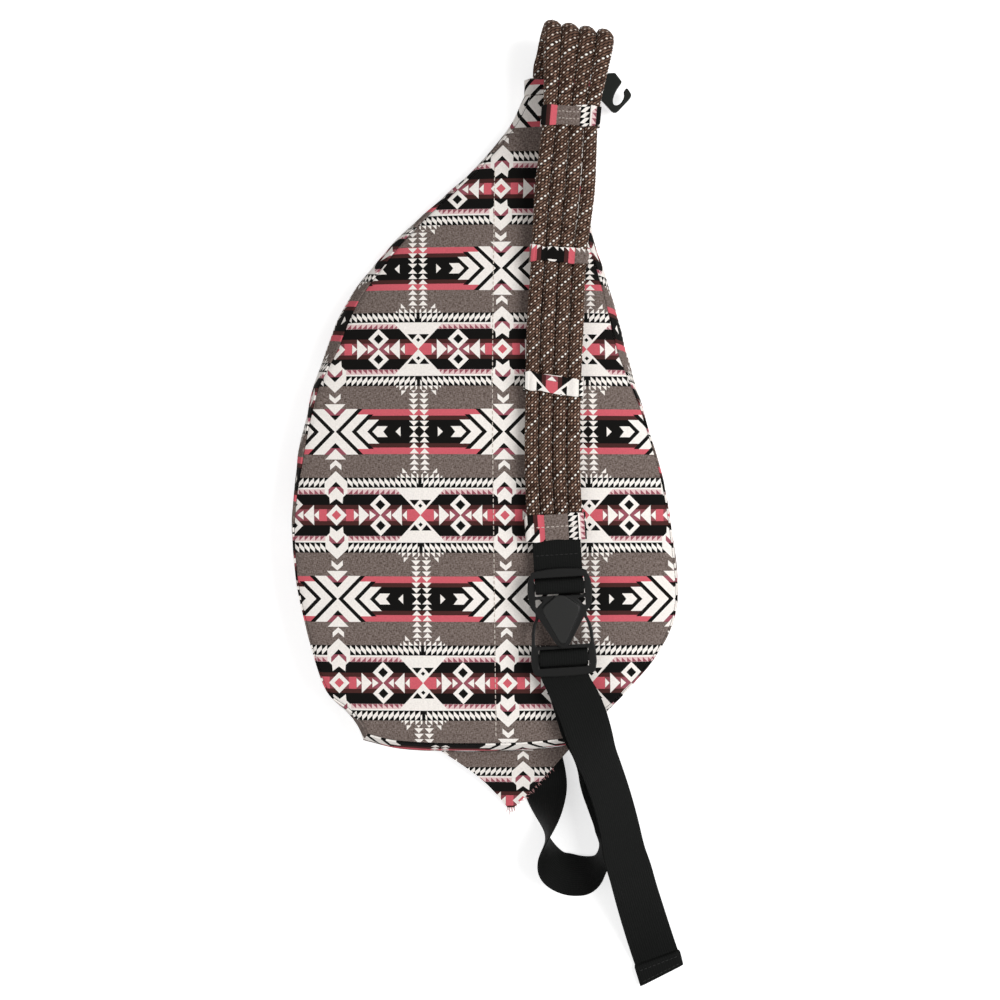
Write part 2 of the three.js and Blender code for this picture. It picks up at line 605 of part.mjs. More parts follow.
// Lower webbing: from under the tab, over on its edge into a loop, up under its own tail to the frame half,
// round the frame's bar and back down as the loose tail with a sewn hem. Heights are in hundredths of the
// back panel's height, and a tilt past 90 has the strip's other face up.
const FROM_TAB = [
  [44, -192, 25.6, 14, 6], [45, -203, 17.2, 12, 9], [45.8, -213, 16, 8, 18], [44.6, -229, 28.4, 0, 50],
  [44.8, -247, 36.8, 0, 90],
];
const LOOP = [
  [45.9, -260, 33.2, 10, 116], [50.1, -270, 27.6, 35, 133], [58.6, -275.4, 25.6, 65, 138],
  [68, -277, 27.4, 88, 134], [76, -275.8, 30.6, 102, 126], [83.3, -271.4, 34.8, 112, 111],
  [98.5, -269, 23.4, 152, 143], [101.1, -256.9, 14.8, 175, 160], [97.7, -243.4, 14.8, 190, 160],
  [93.6, -230, 14.8, 195, 161], [89.7, -212.6, 17, 195, 172], [86, -194.5, 42, 195, 188],
  [80.5, -181.5, 66, 195, 200], [71.9, -165.7, 87, 194, 194], [67, -150, 99.2, 190, 187],
  [62.7, -137, 105.6, 186, 182],
];
const TAIL = [
  [62.8, -136, 114.8, 187, 182], [69.3, -151.1, 110, 191, 188], [74.6, -167, 98.4, 195, 195],
  [81, -182.8, 81, 196, 206], [85.2, -193.6, 71, 197, 212], [88.9, -204.4, 64, 197, 214],
  [93.1, -219.6, 59, 196, 212], [97.4, -236.4, 57, 195, 210], [101.7, -257.7, 58, 196, 203],
  [106.1, -269.9, 58, 198, 200], [112, -289.8, 42, 198, 197], [121.8, -321, 16, 198, 188],
  [127, -338.6, 4.6, 198, 181, 1], [128.2, -342.4, 6, 199, 180, HEM_LAYERS],
  [131.6, -354.2, 6, 208, 180, HEM_LAYERS],
];
const IN_FRAME = [
  [-BUCKLE_HALF_LENGTH, frameBase - 3 * turnRise + GAP], [frameBar, frameBase - 3 * turnRise + GAP],
  ...turnRoundBar(frameBar + BAR_LENGTH, frameTop, frameBase),
  [-BUCKLE_HALF_LENGTH, frameBase - turnRise * 0.7],
];
const atBackShare = ([x, y, share, ...rest]) => [x, y, (share * backTop) / 100, ...rest];
const faceDown = ([x, y, z, heading, tilt]) => [x, y, z, heading + 180, tilt + 180];
const LOWER_ROUTE = [
  ...[...FROM_TAB, ...LOOP].map(atBackShare),
  ...IN_FRAME.map(onBuckle).map(faceDown),
  ...TAIL.map(atBackShare),
];
addMesh("lower_webbing", strip(LOWER_ROUTE, 2), webbing);

// Hook half of the buckle: webbing bars, a tapered tongue with a thumb pad, and a toe under the catch bar
const hookTip = frameSlot + WINDOW_RIB - GAP;

const webbingSlot = (low) =>
  rectangle(-slotHalfWidth, low, slotHalfWidth, low + SLOT_LENGTH, new THREE.Path());

function hookHalf() {
  const [w, top, arm] = [BUCKLE_HALF_WIDTH, BUCKLE_HALF_LENGTH, hookSlotEnd - ARM_LENGTH];
  const shoulder = w - BUCKLE_CORNER / 2;
  const outline = symmetric([
    [0, top],
    [w / 2, top, w - BUCKLE_CORNER, top - BUCKLE_BOW],
    [shoulder, top - BUCKLE_BOW, shoulder, top - BUCKLE_CORNER],
    [w + ARM_BOW, hookBar, w, arm + 0.6 * ARM_LENGTH],
    [w, arm + 0.3 * ARM_LENGTH, w - 0.3 * ARM_LENGTH, arm],
    [TONGUE_TIP_HALF_WIDTH, hookTip + 1],
    [0, hookTip - BUCKLE_BOW, 0, hookTip - BUCKLE_BOW],
  ]);
  for (const upper of [hookSlot, hookBar - BAR_LENGTH]) {
    outline.holes.push(webbingSlot(upper - SLOT_LENGTH));
  }
  const padShoulder = hookSlotEnd - 0.8 * ARM_LENGTH;
  const notchTop = hookSlotEnd - BUCKLE_CORNER / 2;
  const notch = [
    [PAD_HALF_WIDTH - PAD_RISE, notchTop - GAP], [slotHalfWidth, notchTop], [slotHalfWidth, padShoulder],
  ];
  for (const side of [-1, 1]) {
    outline.holes.push(polygon(notch.map(([x, y]) => [side * x, y]), new THREE.Path()));
  }
  const [padWidth, padTop, padTip] = [PAD_HALF_WIDTH, hookSlotEnd + GAP, hookTip + BUCKLE_CORNER / 2];
  const shield = symmetric([
    [0, padTop],
    [padWidth / 4, padTop, padWidth / 3, padTop - PAD_RISE],
    [0.88 * padWidth, padShoulder + 0.2 * ARM_LENGTH],
    [1.08 * padWidth, padShoulder, 0.9 * padWidth, padShoulder - 0.4 * ARM_LENGTH],
    [0.2 * padWidth, padTip + BUCKLE_CORNER / 2],
    [0.1 * padWidth, padTip, 0, padTip],
  ]);
  const pad = toSolid(plate(shield, hookTop - GAP, hookTop + PAD_RISE));
  const lipTop = CATCH_BAR - GAP;
  const lipEnd = lipTop - LIP_LENGTH;
  const toeTop = frameBase - GAP;
  const toeBase = toeTop - TOE_THICKNESS;
  const fromLip = (high) => rectangle(-TOE_HALF_WIDTH, lipEnd, TOE_HALF_WIDTH, high);
  const lip = toSolid(plate(fromLip(lipTop), toeBase, hookBase + GAP));
  const toe = toSolid(plate(fromLip(lipEnd + TOE_LENGTH), toeBase, toeTop));
  return fromSolid(toSolid(plate(outline, hookBase, hookTop)).add(pad).add(lip).add(toe));
}

// Frame half: catch bar, two flared rails, and a ladder of bars for the webbing
function frameHalf() {
  const [w, low] = [BUCKLE_HALF_WIDTH, -BUCKLE_HALF_LENGTH];
  const catchTop = CATCH_BAR + CATCH_LENGTH;
  const waist = w - RAIL_FLARE;
  const outline = symmetric([
    [0, catchTop],
    [waist - RAIL_WIDTH, catchTop],
    [waist, catchTop, waist, CATCH_BAR - BUCKLE_CORNER / 2],
    [w, CATCH_BAR - RAIL_BOW, w, frameSlot + BUCKLE_CORNER],
    [w + ARM_BOW, frameBar, w, low + BUCKLE_CORNER],
    [w, low + BUCKLE_BOW, w - BUCKLE_CORNER, low + BUCKLE_BOW / 2],
    [w / 2, low, 0, low],
  ]);
  const windowLow = frameSlot + WINDOW_RIB;
  const inner = waist - RAIL_WIDTH;
  const opening = symmetric([
    [0, CATCH_BAR], [inner - BUCKLE_CORNER / 2, CATCH_BAR], [inner, CATCH_BAR - BUCKLE_CORNER / 2],
    [w - RAIL_WIDTH, CATCH_BAR - RAIL_BOW, w - RAIL_WIDTH, windowLow + BUCKLE_CORNER / 2],
    [w - RAIL_WIDTH - 1, windowLow], [0, windowLow],
  ]);
  outline.holes.push(new THREE.Path(opening.getPoints()));
  for (const lower of [frameSlotEnd, frameBar + BAR_LENGTH]) {
    outline.holes.push(webbingSlot(lower));
  }
  return plate(outline, frameBase, frameTop);
}

addMesh("hook_buckle", hookHalf(), acetal, buckle);
addMesh("frame_buckle", frameHalf(), acetal, buckle);

// Zips: a sloped facing down to each zip, two tapes with a coil, a slider in the slit and a pull on its bail
const tapeLow = RECESS + FABRIC + GAP;
const tapeHigh = tapeLow + TAPE_THICKNESS;
const coilLow = tapeLow - COIL_THICKNESS;
const sliderLow = coilLow - GAP - SLIDER_PLATE;
const bailLow = sliderLow - BAIL_OPENING - BAIL_WALL;
const pullAxis = sliderLow - BAIL_OPENING / 2;

function facing(length) {
  const ring = (halfWidth, z) =>
    stadium(halfWidth, length, new THREE.Path()).getPoints(6).slice(0, -1).map((point) => lift(point, z));
  const low = [ring(FACING_HALF_WIDTH, 0), ring(ZIP_SLOT_HALF_WIDTH, RECESS)];
  const high = [ring(FACING_HALF_WIDTH, FABRIC), ring(ZIP_SLOT_HALF_WIDTH, RECESS + FABRIC)];
  const rows = ([outer, inner]) => outer.map((point, i) => [point, inner[i]]);
  return sheetSolid(rows(low), rows(high), true);
}

function tape(length, side) {
  const edge = SLIT / 2;
  const section = polygon([
    [TAPE_HALF_WIDTH, tapeLow], [TAPE_HALF_WIDTH, tapeHigh], [edge, tapeHigh], [edge, tapeLow],
  ].map(([x, z]) => [side * x, z]));
  const coil = rectangle(side * edge, coilLow, side * COIL_HALF_WIDTH, tapeHigh);
  const reach = length / 2 + TAPE_OVERRUN;
  const coilReach = length / 2 + ZIP_SLOT_HALF_WIDTH - COIL_HALF_WIDTH / 2;
  const band = toSolid(alongY(section, -reach, reach));
  return fromSolid(band.add(toSolid(alongY(coil, -coilReach, coilReach))));
}

function slider() {
  const [w, edge, half] = [SLIDER_HALF_WIDTH, SLIT / 2 - GAP, SLIDER_LENGTH / 2];
  const flange = COIL_HALF_WIDTH + GAP;
  const inside = sliderLow + SLIDER_PLATE;
  const upper = tapeHigh + GAP;
  const profile = [
    [w, sliderLow], [w, tapeLow - GAP], [flange, tapeLow - GAP], [flange, inside],
    [edge, inside], [edge, upper], [w, upper], [w, upper + SLIDER_PLATE],
  ];
  const section = polygon([...profile, ...profile.map(([x, z]) => [-x, z]).reverse()]);
  const plan = symmetric([
    [0, half], [w - SLIDER_CORNER, half], [w, half, w, half - SLIDER_CORNER],
    [w - SLIDER_NOSE / 2, 0, w - SLIDER_NOSE, -half], [0, -half],
  ]);
  const body = toSolid(alongY(section, -half, half)).intersect(toSolid(plate(plan, 0, upper + RECESS)));
  const arch = rectangle(-BAIL_LENGTH / 2, bailLow, BAIL_LENGTH / 2, sliderLow + SLIDER_PLATE / 2);
  const bailInside = BAIL_LENGTH / 2 - BAIL_WALL;
  arch.holes.push(rectangle(-bailInside, bailLow + BAIL_WALL, bailInside, sliderLow, new THREE.Path()));
  return fromSolid(body.add(toSolid(acrossX(arch, BAIL_WIDTH / 2))));
}

// The pull's top bar lies in the bail, and its window clears the bail as it swings
const pullBarY = -BAIL_LENGTH / 2 + BAIL_WALL + GAP + PULL_THICKNESS / 2;
const pullSweep = Math.hypot(BAIL_LENGTH / 2 - pullBarY, pullAxis - bailLow) + GAP;

function pull() {
  const [w, r, end] = [PULL_HALF_WIDTH, PULL_THICKNESS / 2, -PULL_LENGTH];
  const outline = symmetric([
    [0, r], [w - PULL_CORNER, r], [w, r, w, r - PULL_CORNER],
    [w - PULL_TAPER, end + PULL_END], [w - PULL_TAPER, end, 0, end],
  ]);
  const windowHalf = BAIL_WIDTH / 2 + 2 * GAP;
  outline.holes.push(rectangle(-windowHalf, -pullSweep, windowHalf, -r, new THREE.Path()));
  const grip = new THREE.Path();
  grip.absarc(0, end + PULL_HOLE_SETBACK, PULL_HOLE_RADIUS, 0, 2 * Math.PI, false);
  outline.holes.push(grip);
  return plate(outline, -r, r);
}

for (const { name, x, y, length } of ZIPS) {
  const zip = new THREE.Group();
  zip.position.set(x, y, 0);
  bag.add(zip);
  addMesh(`${name}_facing`, facing(length), canvas, zip);
  addMesh(`${name}_tape_a`, tape(length, -1), zipTape, zip);
  addMesh(`${name}_tape_b`, tape(length, 1), zipTape, zip);
  const closed = length / 2 - SLIDER_LENGTH / 2;
  addMesh(`${name}_slider`, slider(), zipMetal, zip).position.set(0, closed, 0);
  addMesh(`${name}_pull`, pull(), zipMetal, zip).position.set(0, closed + pullBarY, pullAxis);
}

// Flat hook: its outline in steps from the seam where its shank is sewn to the side of the neck binding
const HANGER_OUTLINE = [
  [0, -4], [6, -5.5], [15.3, -15.6], [17.9, -18.2, 20.6, -15.3], [28.6, -6.8], [30.8, -4.3, 29.4, -2.4],
  [27.6, 0.3], [26.5, 1.9, 25.5, 0.4], [24.3, -1.4], [25.6, -5.4, 22.5, -9.4], [20.3, -11.9, 17.9, -11.5],
  [15.9, -10.9, 16.4, -7.4], [17.2, -3, 19.7, 1], [22.3, 4.6], [23.1, 5.6, 22.6, 6.5], [18.3, 12.1],
  [17.9, 12.6, 17.2, 12.6], [13, 12.3], [8, 12, 6, 4], [0, 4],
];

function hangHook() {
  const root = NECK_X + NECK_WIDTH / 2 + GAP;
  const seat = BODY_TOP + GAP + BINDING_LENGTH / 2;
  const outline = new THREE.Shape(trace(HANGER_OUTLINE));
  return plate(outline, HANGER_BASE, HANGER_BASE + HANGER_THICKNESS).translate(root, seat, 0);
}

addMesh("hang_hook", hangHook(), hangerPlastic);

export default bag;
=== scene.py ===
# %% [markdown]
# # A rope sling bag on a pale floor
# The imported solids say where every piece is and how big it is. This lesson dresses them: braided ropes,
# printed canvas, ribbed webbing, a moulded buckle and two zips. Each step says what the piece is on the
# real bag, how it could be made, and why it is made this way here.

# %% Load the frame
import math

import bmesh
import bpy
import numpy as np
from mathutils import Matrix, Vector, noise
from mathutils.bvhtree import BVHTree


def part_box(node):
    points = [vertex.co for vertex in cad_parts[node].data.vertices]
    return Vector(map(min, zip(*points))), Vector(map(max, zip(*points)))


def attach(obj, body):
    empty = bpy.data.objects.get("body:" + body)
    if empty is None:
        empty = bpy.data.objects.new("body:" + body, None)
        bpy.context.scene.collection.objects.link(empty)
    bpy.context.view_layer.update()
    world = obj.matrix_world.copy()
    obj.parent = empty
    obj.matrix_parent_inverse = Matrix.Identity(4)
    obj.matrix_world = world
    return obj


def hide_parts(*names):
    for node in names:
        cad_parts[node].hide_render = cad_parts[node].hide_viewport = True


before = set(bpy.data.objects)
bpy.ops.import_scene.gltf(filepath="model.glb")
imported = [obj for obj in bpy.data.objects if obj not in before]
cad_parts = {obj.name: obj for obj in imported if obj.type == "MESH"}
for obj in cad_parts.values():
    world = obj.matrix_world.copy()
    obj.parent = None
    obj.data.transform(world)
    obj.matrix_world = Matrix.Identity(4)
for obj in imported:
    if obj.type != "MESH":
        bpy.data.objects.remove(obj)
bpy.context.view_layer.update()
scene = bpy.context.scene
MM = 0.001

# %% [markdown]
# ## Camera
# The bag lies on its front, and the picture looks straight down on its back. A camera that isn't turned
# looks down with +Y up, so it only has to be placed. The lens follows from two sizes: how wide the picture
# is on a plane at about half of the bag's depth, and how far above that plane the camera stands.

# %% Camera
PICTURE_WIDTH = 730 * MM
PICTURE_PLANE = 25 * MM
PICTURE_CENTRE = (11 * MM, 0)
CAMERA_DISTANCE = 1000 * MM

camera_data = bpy.data.cameras.new("camera")
camera_data.lens = camera_data.sensor_width * CAMERA_DISTANCE / PICTURE_WIDTH
camera = bpy.data.objects.new("camera", camera_data)
camera.location = (*PICTURE_CENTRE, PICTURE_PLANE + CAMERA_DISTANCE)
scene.collection.objects.link(camera)
scene.camera = camera
print("camera: lens", round(camera_data.lens, 1), "mm")

# %% [markdown]
# ## Small tools
# Every finish needs the same few things: an sRGB hex value as linear colour, a node with its settings and
# links, and a material with the shader's constant values. Every shape needs a smooth line through chosen
# points, and a mesh that is placed in the scene and rides on its body.

# %% Tools for finishes
def linear(hex_colour):
    parts = [int(hex_colour[k:k + 2], 16) / 255 for k in (1, 3, 5)]
    return (*[p / 12.92 if p <= 0.04045 else ((p + 0.055) / 1.055) ** 2.4 for p in parts], 1)


def output_of(source):
    """A node stands for its first output in use; a socket stands for itself."""
    if isinstance(source, bpy.types.Node):
        return next(out for out in source.outputs if out.enabled)
    return source


def add_node(tree, kind, *inputs, **settings):
    """Add a shader node. Each input is a value, a node or socket to link from, or None to leave it alone."""
    made = tree.nodes.new("ShaderNode" + kind)
    for name, value in settings.items():
        setattr(made, name, value)
    sockets = [socket for socket in made.inputs if socket.enabled]
    for socket, value in zip(sockets, inputs):
        if isinstance(value, (bpy.types.Node, bpy.types.NodeSocket)):
            tree.links.new(output_of(value), socket)
        elif value is not None:
            socket.default_value = value
    return made


def new_material(name, **constants):
    material = bpy.data.materials.new(name)
    material.use_nodes = True
    shader = material.node_tree.nodes["Principled BSDF"]
    for socket, value in constants.items():
        shader.inputs[socket.replace("_", " ").title().replace("Ior", "IOR")].default_value = value
    return material, material.node_tree, shader


def connect(tree, source, shader, socket):
    tree.links.new(output_of(source), shader.inputs[socket])


# %% Tools for lines
# steps of a curve between two given points, and points enough to measure a whole curve
CURVE_STEPS, CURVE_POINTS = 24, 400


def smooth_line(points, count):
    """Evenly spaced points on a curve through the given ones, and at which of them each lies."""
    points = np.asarray(points, float)
    knots = np.vstack([2 * points[:1] - points[1:2], points, 2 * points[-1:] - points[-2:-1]])
    share = np.linspace(0, 1, CURVE_STEPS, endpoint=False)[:, None]
    fine = []
    for a, b, c, d in zip(knots, knots[1:], knots[2:], knots[3:]):
        before, span, after = [max(np.linalg.norm(q - p) ** 0.5, 1e-6) for p, q in ((a, b), (b, c), (c, d))]
        leave = ((b - a) / before - (c - a) / (before + span) + (c - b) / span) * span
        arrive = ((c - b) / span - (d - b) / (span + after) + (d - c) / after) * span
        square = 3 * (c - b) - 2 * leave - arrive
        cube = 2 * (b - c) + leave + arrive
        fine.append(b + leave * share + square * share**2 + cube * share**3)
    fine = np.vstack(fine + [points[-1:]])
    station = np.linspace(0, len(points) - 1, len(fine))
    along = lengths_along(fine)
    wanted = np.linspace(0, along[-1], count)
    line = np.stack([np.interp(wanted, along, column) for column in fine.T], axis=1)
    return line, np.interp(wanted, along, station)


def lengths_along(line):
    return np.concatenate([[0], np.cumsum(np.linalg.norm(np.diff(line, axis=0), axis=1))])


def unit(vectors):
    return vectors / np.linalg.norm(vectors, axis=-1, keepdims=True)


def carried_frame(line):
    """Directions along a line and two across it, carried along without twisting."""
    along = unit(np.gradient(line, axis=0))
    across = np.zeros_like(line)
    side = np.eye(3)[np.argmin(np.abs(along[0]))]
    for k, direction in enumerate(along):
        side = side - side.dot(direction) * direction
        side /= np.linalg.norm(side)
        across[k] = side
    return along, across, np.cross(along, across)


# %% Tools for meshes
def make_piece(name, points, faces, finish, nodes=(), body="bag", uv=None, uv_faces=None, crease=40):
    """A mesh on a body. The cloth's own coordinates are one for each point, or follow faces of their own."""
    faces = [list(face) for face in faces]
    mesh = bpy.data.meshes.new(name)
    mesh.from_pydata(np.asarray(points).tolist(), [], faces)
    if uv is not None:
        corners = np.concatenate([np.asarray(face) for face in (uv_faces or faces)])
        mesh.uv_layers.new(name="cloth").data.foreach_set("uv", np.asarray(uv, np.float32)[corners].ravel())
    sewn = bmesh.new()
    sewn.from_mesh(mesh)
    bmesh.ops.recalc_face_normals(sewn, faces=sewn.faces)
    sewn.to_mesh(mesh)
    sewn.free()
    mesh.polygons.foreach_set("use_smooth", [True] * len(mesh.polygons))
    mesh.set_sharp_from_angle(angle=math.radians(crease))
    return place_piece(name, mesh, finish, nodes, body)


def place_piece(name, mesh, finish, nodes=(), body="bag"):
    mesh.materials.append(finish)
    piece = bpy.data.objects.new(name, mesh)
    scene.collection.objects.link(piece)
    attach(piece, body)
    if nodes:
        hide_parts(*nodes)
    return piece


def shell(outer, inner, ring=False):
    """Points and faces of a closed sheet between two grids. A ring joins its last row to its first."""
    rows, columns = outer.shape[:2]
    front = np.arange(rows * columns).reshape(rows, columns)
    if ring:
        front = np.vstack([front, front[:1]])
    back = front + rows * columns
    strip = lambda a, b: np.stack([a[:-1], a[1:], b[1:], b[:-1]], axis=-1).reshape(-1, 4)
    faces = [strip(front[:, :-1], front[:, 1:]), strip(back[:, 1:], back[:, :-1])]
    faces += [strip(back[:, 0], front[:, 0]), strip(front[:, -1], back[:, -1])]
    if not ring:
        faces += [strip(front[0], back[0]), strip(back[-1], front[-1])]
    return np.concatenate([outer.reshape(-1, 3), inner.reshape(-1, 3)]), np.concatenate(faces)


def tubes(lines, radius, sides):
    """Points and faces of closed round tubes. The radius is one number, or one for each point of a line."""
    points, faces, start = [], [], 0
    angle = np.linspace(0, 2 * math.pi, sides, endpoint=False)[:, None, None]
    for line in lines:
        across, upward = carried_frame(line)[1:]
        outward = np.cos(angle) * across + np.sin(angle) * upward
        points.append((line + outward * np.reshape(radius, (-1, 1))).reshape(-1, 3))
        grid = start + np.arange(sides * len(line)).reshape(sides, len(line))
        after = np.roll(grid, -1, axis=0)
        walls = np.stack([grid[:, :-1], after[:, :-1], after[:, 1:], grid[:, 1:]], axis=-1)
        faces += walls.reshape(-1, 4).tolist()
        faces += [grid[::-1, 0].tolist(), grid[:, -1].tolist()]
        start += grid.size
    return np.vstack(points), faces


def ripple(points, size, height, seed):
    """Soft creases: smooth noise of that size and height at each point."""
    flat = points.reshape(-1, points.shape[-1]) / size
    values = [noise.noise(Vector((p[0] + seed, p[1], p[2] if len(p) > 2 else 0))) for p in flat]
    return np.array(values).reshape(points.shape[:-1]) * height


print("tools ready")

# %% [markdown]
# ## Braided cotton rope
# Each rope has a woven sheath: twelve strands wind one way as slanting ridges, and finer ones that wind the
# other way tie them down. Some ridges are flecked with pale yarn, which shows wherever they come to the top.
# The sheath could be a bump on a tube, but its ridges are wide enough to see, so the tube's own mesh is
# raised and lowered by the same rule that colours it.

# %% Rope finish
CARRIERS = 12
STRAND_TURN = 27 * MM
# the first of each set of strands is flecked, and one of those in each turn is pale all over
STRAND_SET = 3
# heights on the sheath between which pale yarn comes to the top, and between which the painted shade of the
# gaps fades out
FLECK_HEIGHTS, GAP_SHADE_HEIGHTS = (0.66, 0.9), (0.4, 0.72)

# braided cotton and polyester: matt fibres that scatter light; painted shade makes the gaps between strands
# nearly black
rope_finish, tree, shader = new_material("braided_cotton_rope", roughness=0.85, specular_ior_level=0.15)
place = add_node(tree, "UVMap", uv_map="cloth")
twist = CARRIERS / STRAND_TURN
rising = add_node(tree, "VectorMath", place, (CARRIERS, -twist, 0), operation="DOT_PRODUCT")
falling = add_node(tree, "VectorMath", place, (CARRIERS, twist, 0), operation="DOT_PRODUCT")
rising_count = add_node(tree, "Math", rising, operation="FLOOR")
falling_count = add_node(tree, "Math", falling, operation="FLOOR")
both = add_node(tree, "Math", rising_count, falling_count, operation="ADD")
under = add_node(tree, "Math", both, 2, operation="FLOORED_MODULO")
in_set = add_node(tree, "Math", rising_count, STRAND_SET, operation="FLOORED_MODULO")
in_turn = add_node(tree, "Math", rising_count, CARRIERS, operation="FLOORED_MODULO")
flecked = add_node(tree, "Math", in_set, under, operation="MAXIMUM")
flecked = add_node(tree, "Math", flecked, 0.5, operation="LESS_THAN")
pale = add_node(tree, "Math", in_turn, under, operation="MAXIMUM")
pale = add_node(tree, "Math", pale, 0.5, operation="LESS_THAN")
cell = add_node(tree, "CombineXYZ", rising_count, falling_count, 0)
chance = add_node(tree, "TexWhiteNoise", cell, noise_dimensions="2D")
height = add_node(tree, "Attribute", attribute_name="strand_height").outputs["Fac"]
brown = add_node(tree, "Mix", chance, linear("#472f24"), linear("#947361"), data_type="RGBA")
fleck = add_node(tree, "MapRange", height, *FLECK_HEIGHTS)
fleck = add_node(tree, "Math", fleck, flecked, operation="MULTIPLY")
colour = add_node(tree, "Mix", fleck, brown, linear("#f3e9dd"), data_type="RGBA")
colour = add_node(tree, "Mix", pale, colour, linear("#fdf8f0"), data_type="RGBA")
# painted shade: low places on the sheath, the gaps between strands, are darkened to near black
gap_shade_mask = add_node(tree, "MapRange", height, *GAP_SHADE_HEIGHTS)
colour = add_node(tree, "Mix", gap_shade_mask, linear("#090403"), colour, data_type="RGBA")
connect(tree, colour, shader, "Base Color")
print("finish:", rope_finish.name)

# %% [markdown]
# ## Four ropes
# The ropes leave the neck of the bag side by side, fold over loosely and come down the back to the cap.
# They share one route: its stations give the middle of the row, and how far each rope stands from the next.
# Where the row spreads, the soft ropes flatten and fill the space.

# %% Ropes' route
ROPE_COUNT = 4
ROPE_DIAMETER = 9.6 * MM
ROPE_PITCH = 9.9
# x, y and z of the middle of the row, then the step from rope to rope across and along, in millimetres
ROPE_ROUTE = np.array([
    (55, 298.6, 9.5, 9.9, 0), (55, 304, 9.5, 9.9, 0), (55, 312, 9.5, 9.9, 0), (57.2, 319, 10.2, 10.8, 0.7),
    (60.8, 325, 12, 11.5, 1.7), (63.8, 332, 15.4, 12.1, 2.2), (66, 337, 22, 12.4, 2.4),
    (67.6, 338.8, 31, 12.5, 2.4), (68, 336.6, 40.2, 12.5, 2.2), (67.6, 330.5, 47.2, 12.4, 1.8),
    (66.6, 322, 50.2, 12.2, 1.4), (65, 307, 50.6, 11.4, 1), (63, 290, 49.8, 10.5, 0.7),
    (61.4, 273, 49, 9.9, 0.5), (57.4, 221.5, 46, 10.8, 0.6), (53.1, 174, 47.2, 9.9, 0.6),
    (50.4, 128, 51.6, 10.2, 0.4), (48.8, 81, 55.8, 9.9, 0.2), (48, 40, 57.4, 9.9, -0.1),
    (48.4, 12, 57.4, 9.9, -0.4), (49.2, -4, 57, 9.9, -0.62), (50.3, -20.4, 57, 9.9, -0.62),
])
# how much wider the soft ropes are where they press on each other, and how they fill a wider step
ROPE_PRESS, ROPE_SWELL = 1.03, 1.5
# height of a ridge where a finer strand ties it down
TIED_DOWN = 0.6


def rope_route(index):
    step = index - (ROPE_COUNT - 1) / 2
    x, y, z, pitch, lean = ROPE_ROUTE.T
    return np.stack([x + step * pitch, y - step * lean, z], axis=1) * MM


def strand_height(turn, along):
    """How high the sheath stands, from 0 in a gap to 1 on a strand, at that share of a turn and length."""
    rising = CARRIERS * (turn - along / STRAND_TURN)
    falling = CARRIERS * (turn + along / STRAND_TURN)
    over = (np.floor(rising) + np.floor(falling)) % 2 < 0.5
    ridge = (1 - (2 * (rising % 1) - 1) ** 2) ** 0.5
    return ridge * (TIED_DOWN + (1 - TIED_DOWN) * np.where(over, np.sin(math.pi * (falling % 1)), 0))


# %% Ropes
STRAND_RELIEF = 0.55 * MM
ROPE_SIDES = 60
ROPE_STEP = 0.55 * MM


def sheath_faces(grid):
    walls = np.stack([grid[:-1, :-1], grid[:-1, 1:], grid[1:, 1:], grid[1:, :-1]], axis=-1).reshape(-1, 4)
    return [*walls, grid[0, :-1][::-1], grid[-1, :-1]]


for index in range(ROPE_COUNT):
    stations = rope_route(index)
    length = lengths_along(smooth_line(stations, CURVE_POINTS)[0])[-1]
    rows = round(length / ROPE_STEP)
    line, at = smooth_line(stations, rows)
    across, upward = carried_frame(line)[1:]
    pitch = np.interp(at, np.arange(len(stations)), ROPE_ROUTE[:, 3])
    swell = ROPE_PRESS + ROPE_SWELL * (pitch / ROPE_PITCH - 1)
    turn, station = np.meshgrid(np.arange(ROPE_SIDES + 1) / ROPE_SIDES, np.linspace(0, length, rows))
    relief = strand_height(turn, station)
    radius = (ROPE_DIAMETER / 2 - STRAND_RELIEF * (1 - relief))[..., None]
    angle = 2 * math.pi * turn[..., None]
    sideways, upward = (swell[:, None] * across)[:, None], upward[:, None]
    skin = line[:, None] + radius * (np.cos(angle) * sideways + np.sin(angle) * upward)
    uv = np.stack([turn, station], axis=-1).reshape(-1, 2)
    # the last column lies on the first, so it keeps its place on the cloth but shares the first one's points
    flat = np.arange(turn.size).reshape(turn.shape)
    welded = np.arange(rows * ROPE_SIDES).reshape(rows, ROPE_SIDES)
    welded = np.hstack([welded, welded[:, :1]])
    rope = make_piece(f"braided_rope_{index + 1}", skin[:, :-1].reshape(-1, 3), sheath_faces(welded),
                      rope_finish, [f"rope_{index + 1}"], uv=uv, uv_faces=sheath_faces(flat),
                      crease=180)
    heights = rope.data.attributes.new("strand_height", "FLOAT", "POINT").data
    heights.foreach_set("value", relief[:, :-1].ravel().astype(np.float32))
    print(rope.name, round(length * 1000), "mm,", len(rope.data.polygons), "faces")

# %% [markdown]
# ## Printed cotton canvas
# The cloth has a traditional geometric print in rows: an X between chevrons, trees of small triangles,
# sawtooth borders, and a row of diamonds and hourglasses. It repeats, and each repeat is alike to the left
# and right and above and below, so folding the cloth's own coordinates leaves one quarter of the repeat.
# Every motif there is a flat shape with straight sides, and a shape is the places on the inner side of all
# its edges. That stays sharp at any distance, and it needs no picture.

# %% Folding the repeat
REPEAT_WIDTH = 122.2
REPEAT_HEIGHT = 119.5
HALF_WIDTH = REPEAT_WIDTH / 2
HALF_HEIGHT = REPEAT_HEIGHT / 2
SAW_PITCH = 3.865
SAW_START = 8.4
TREE_PITCH = 3.957
TREE_SPREAD = 3.78

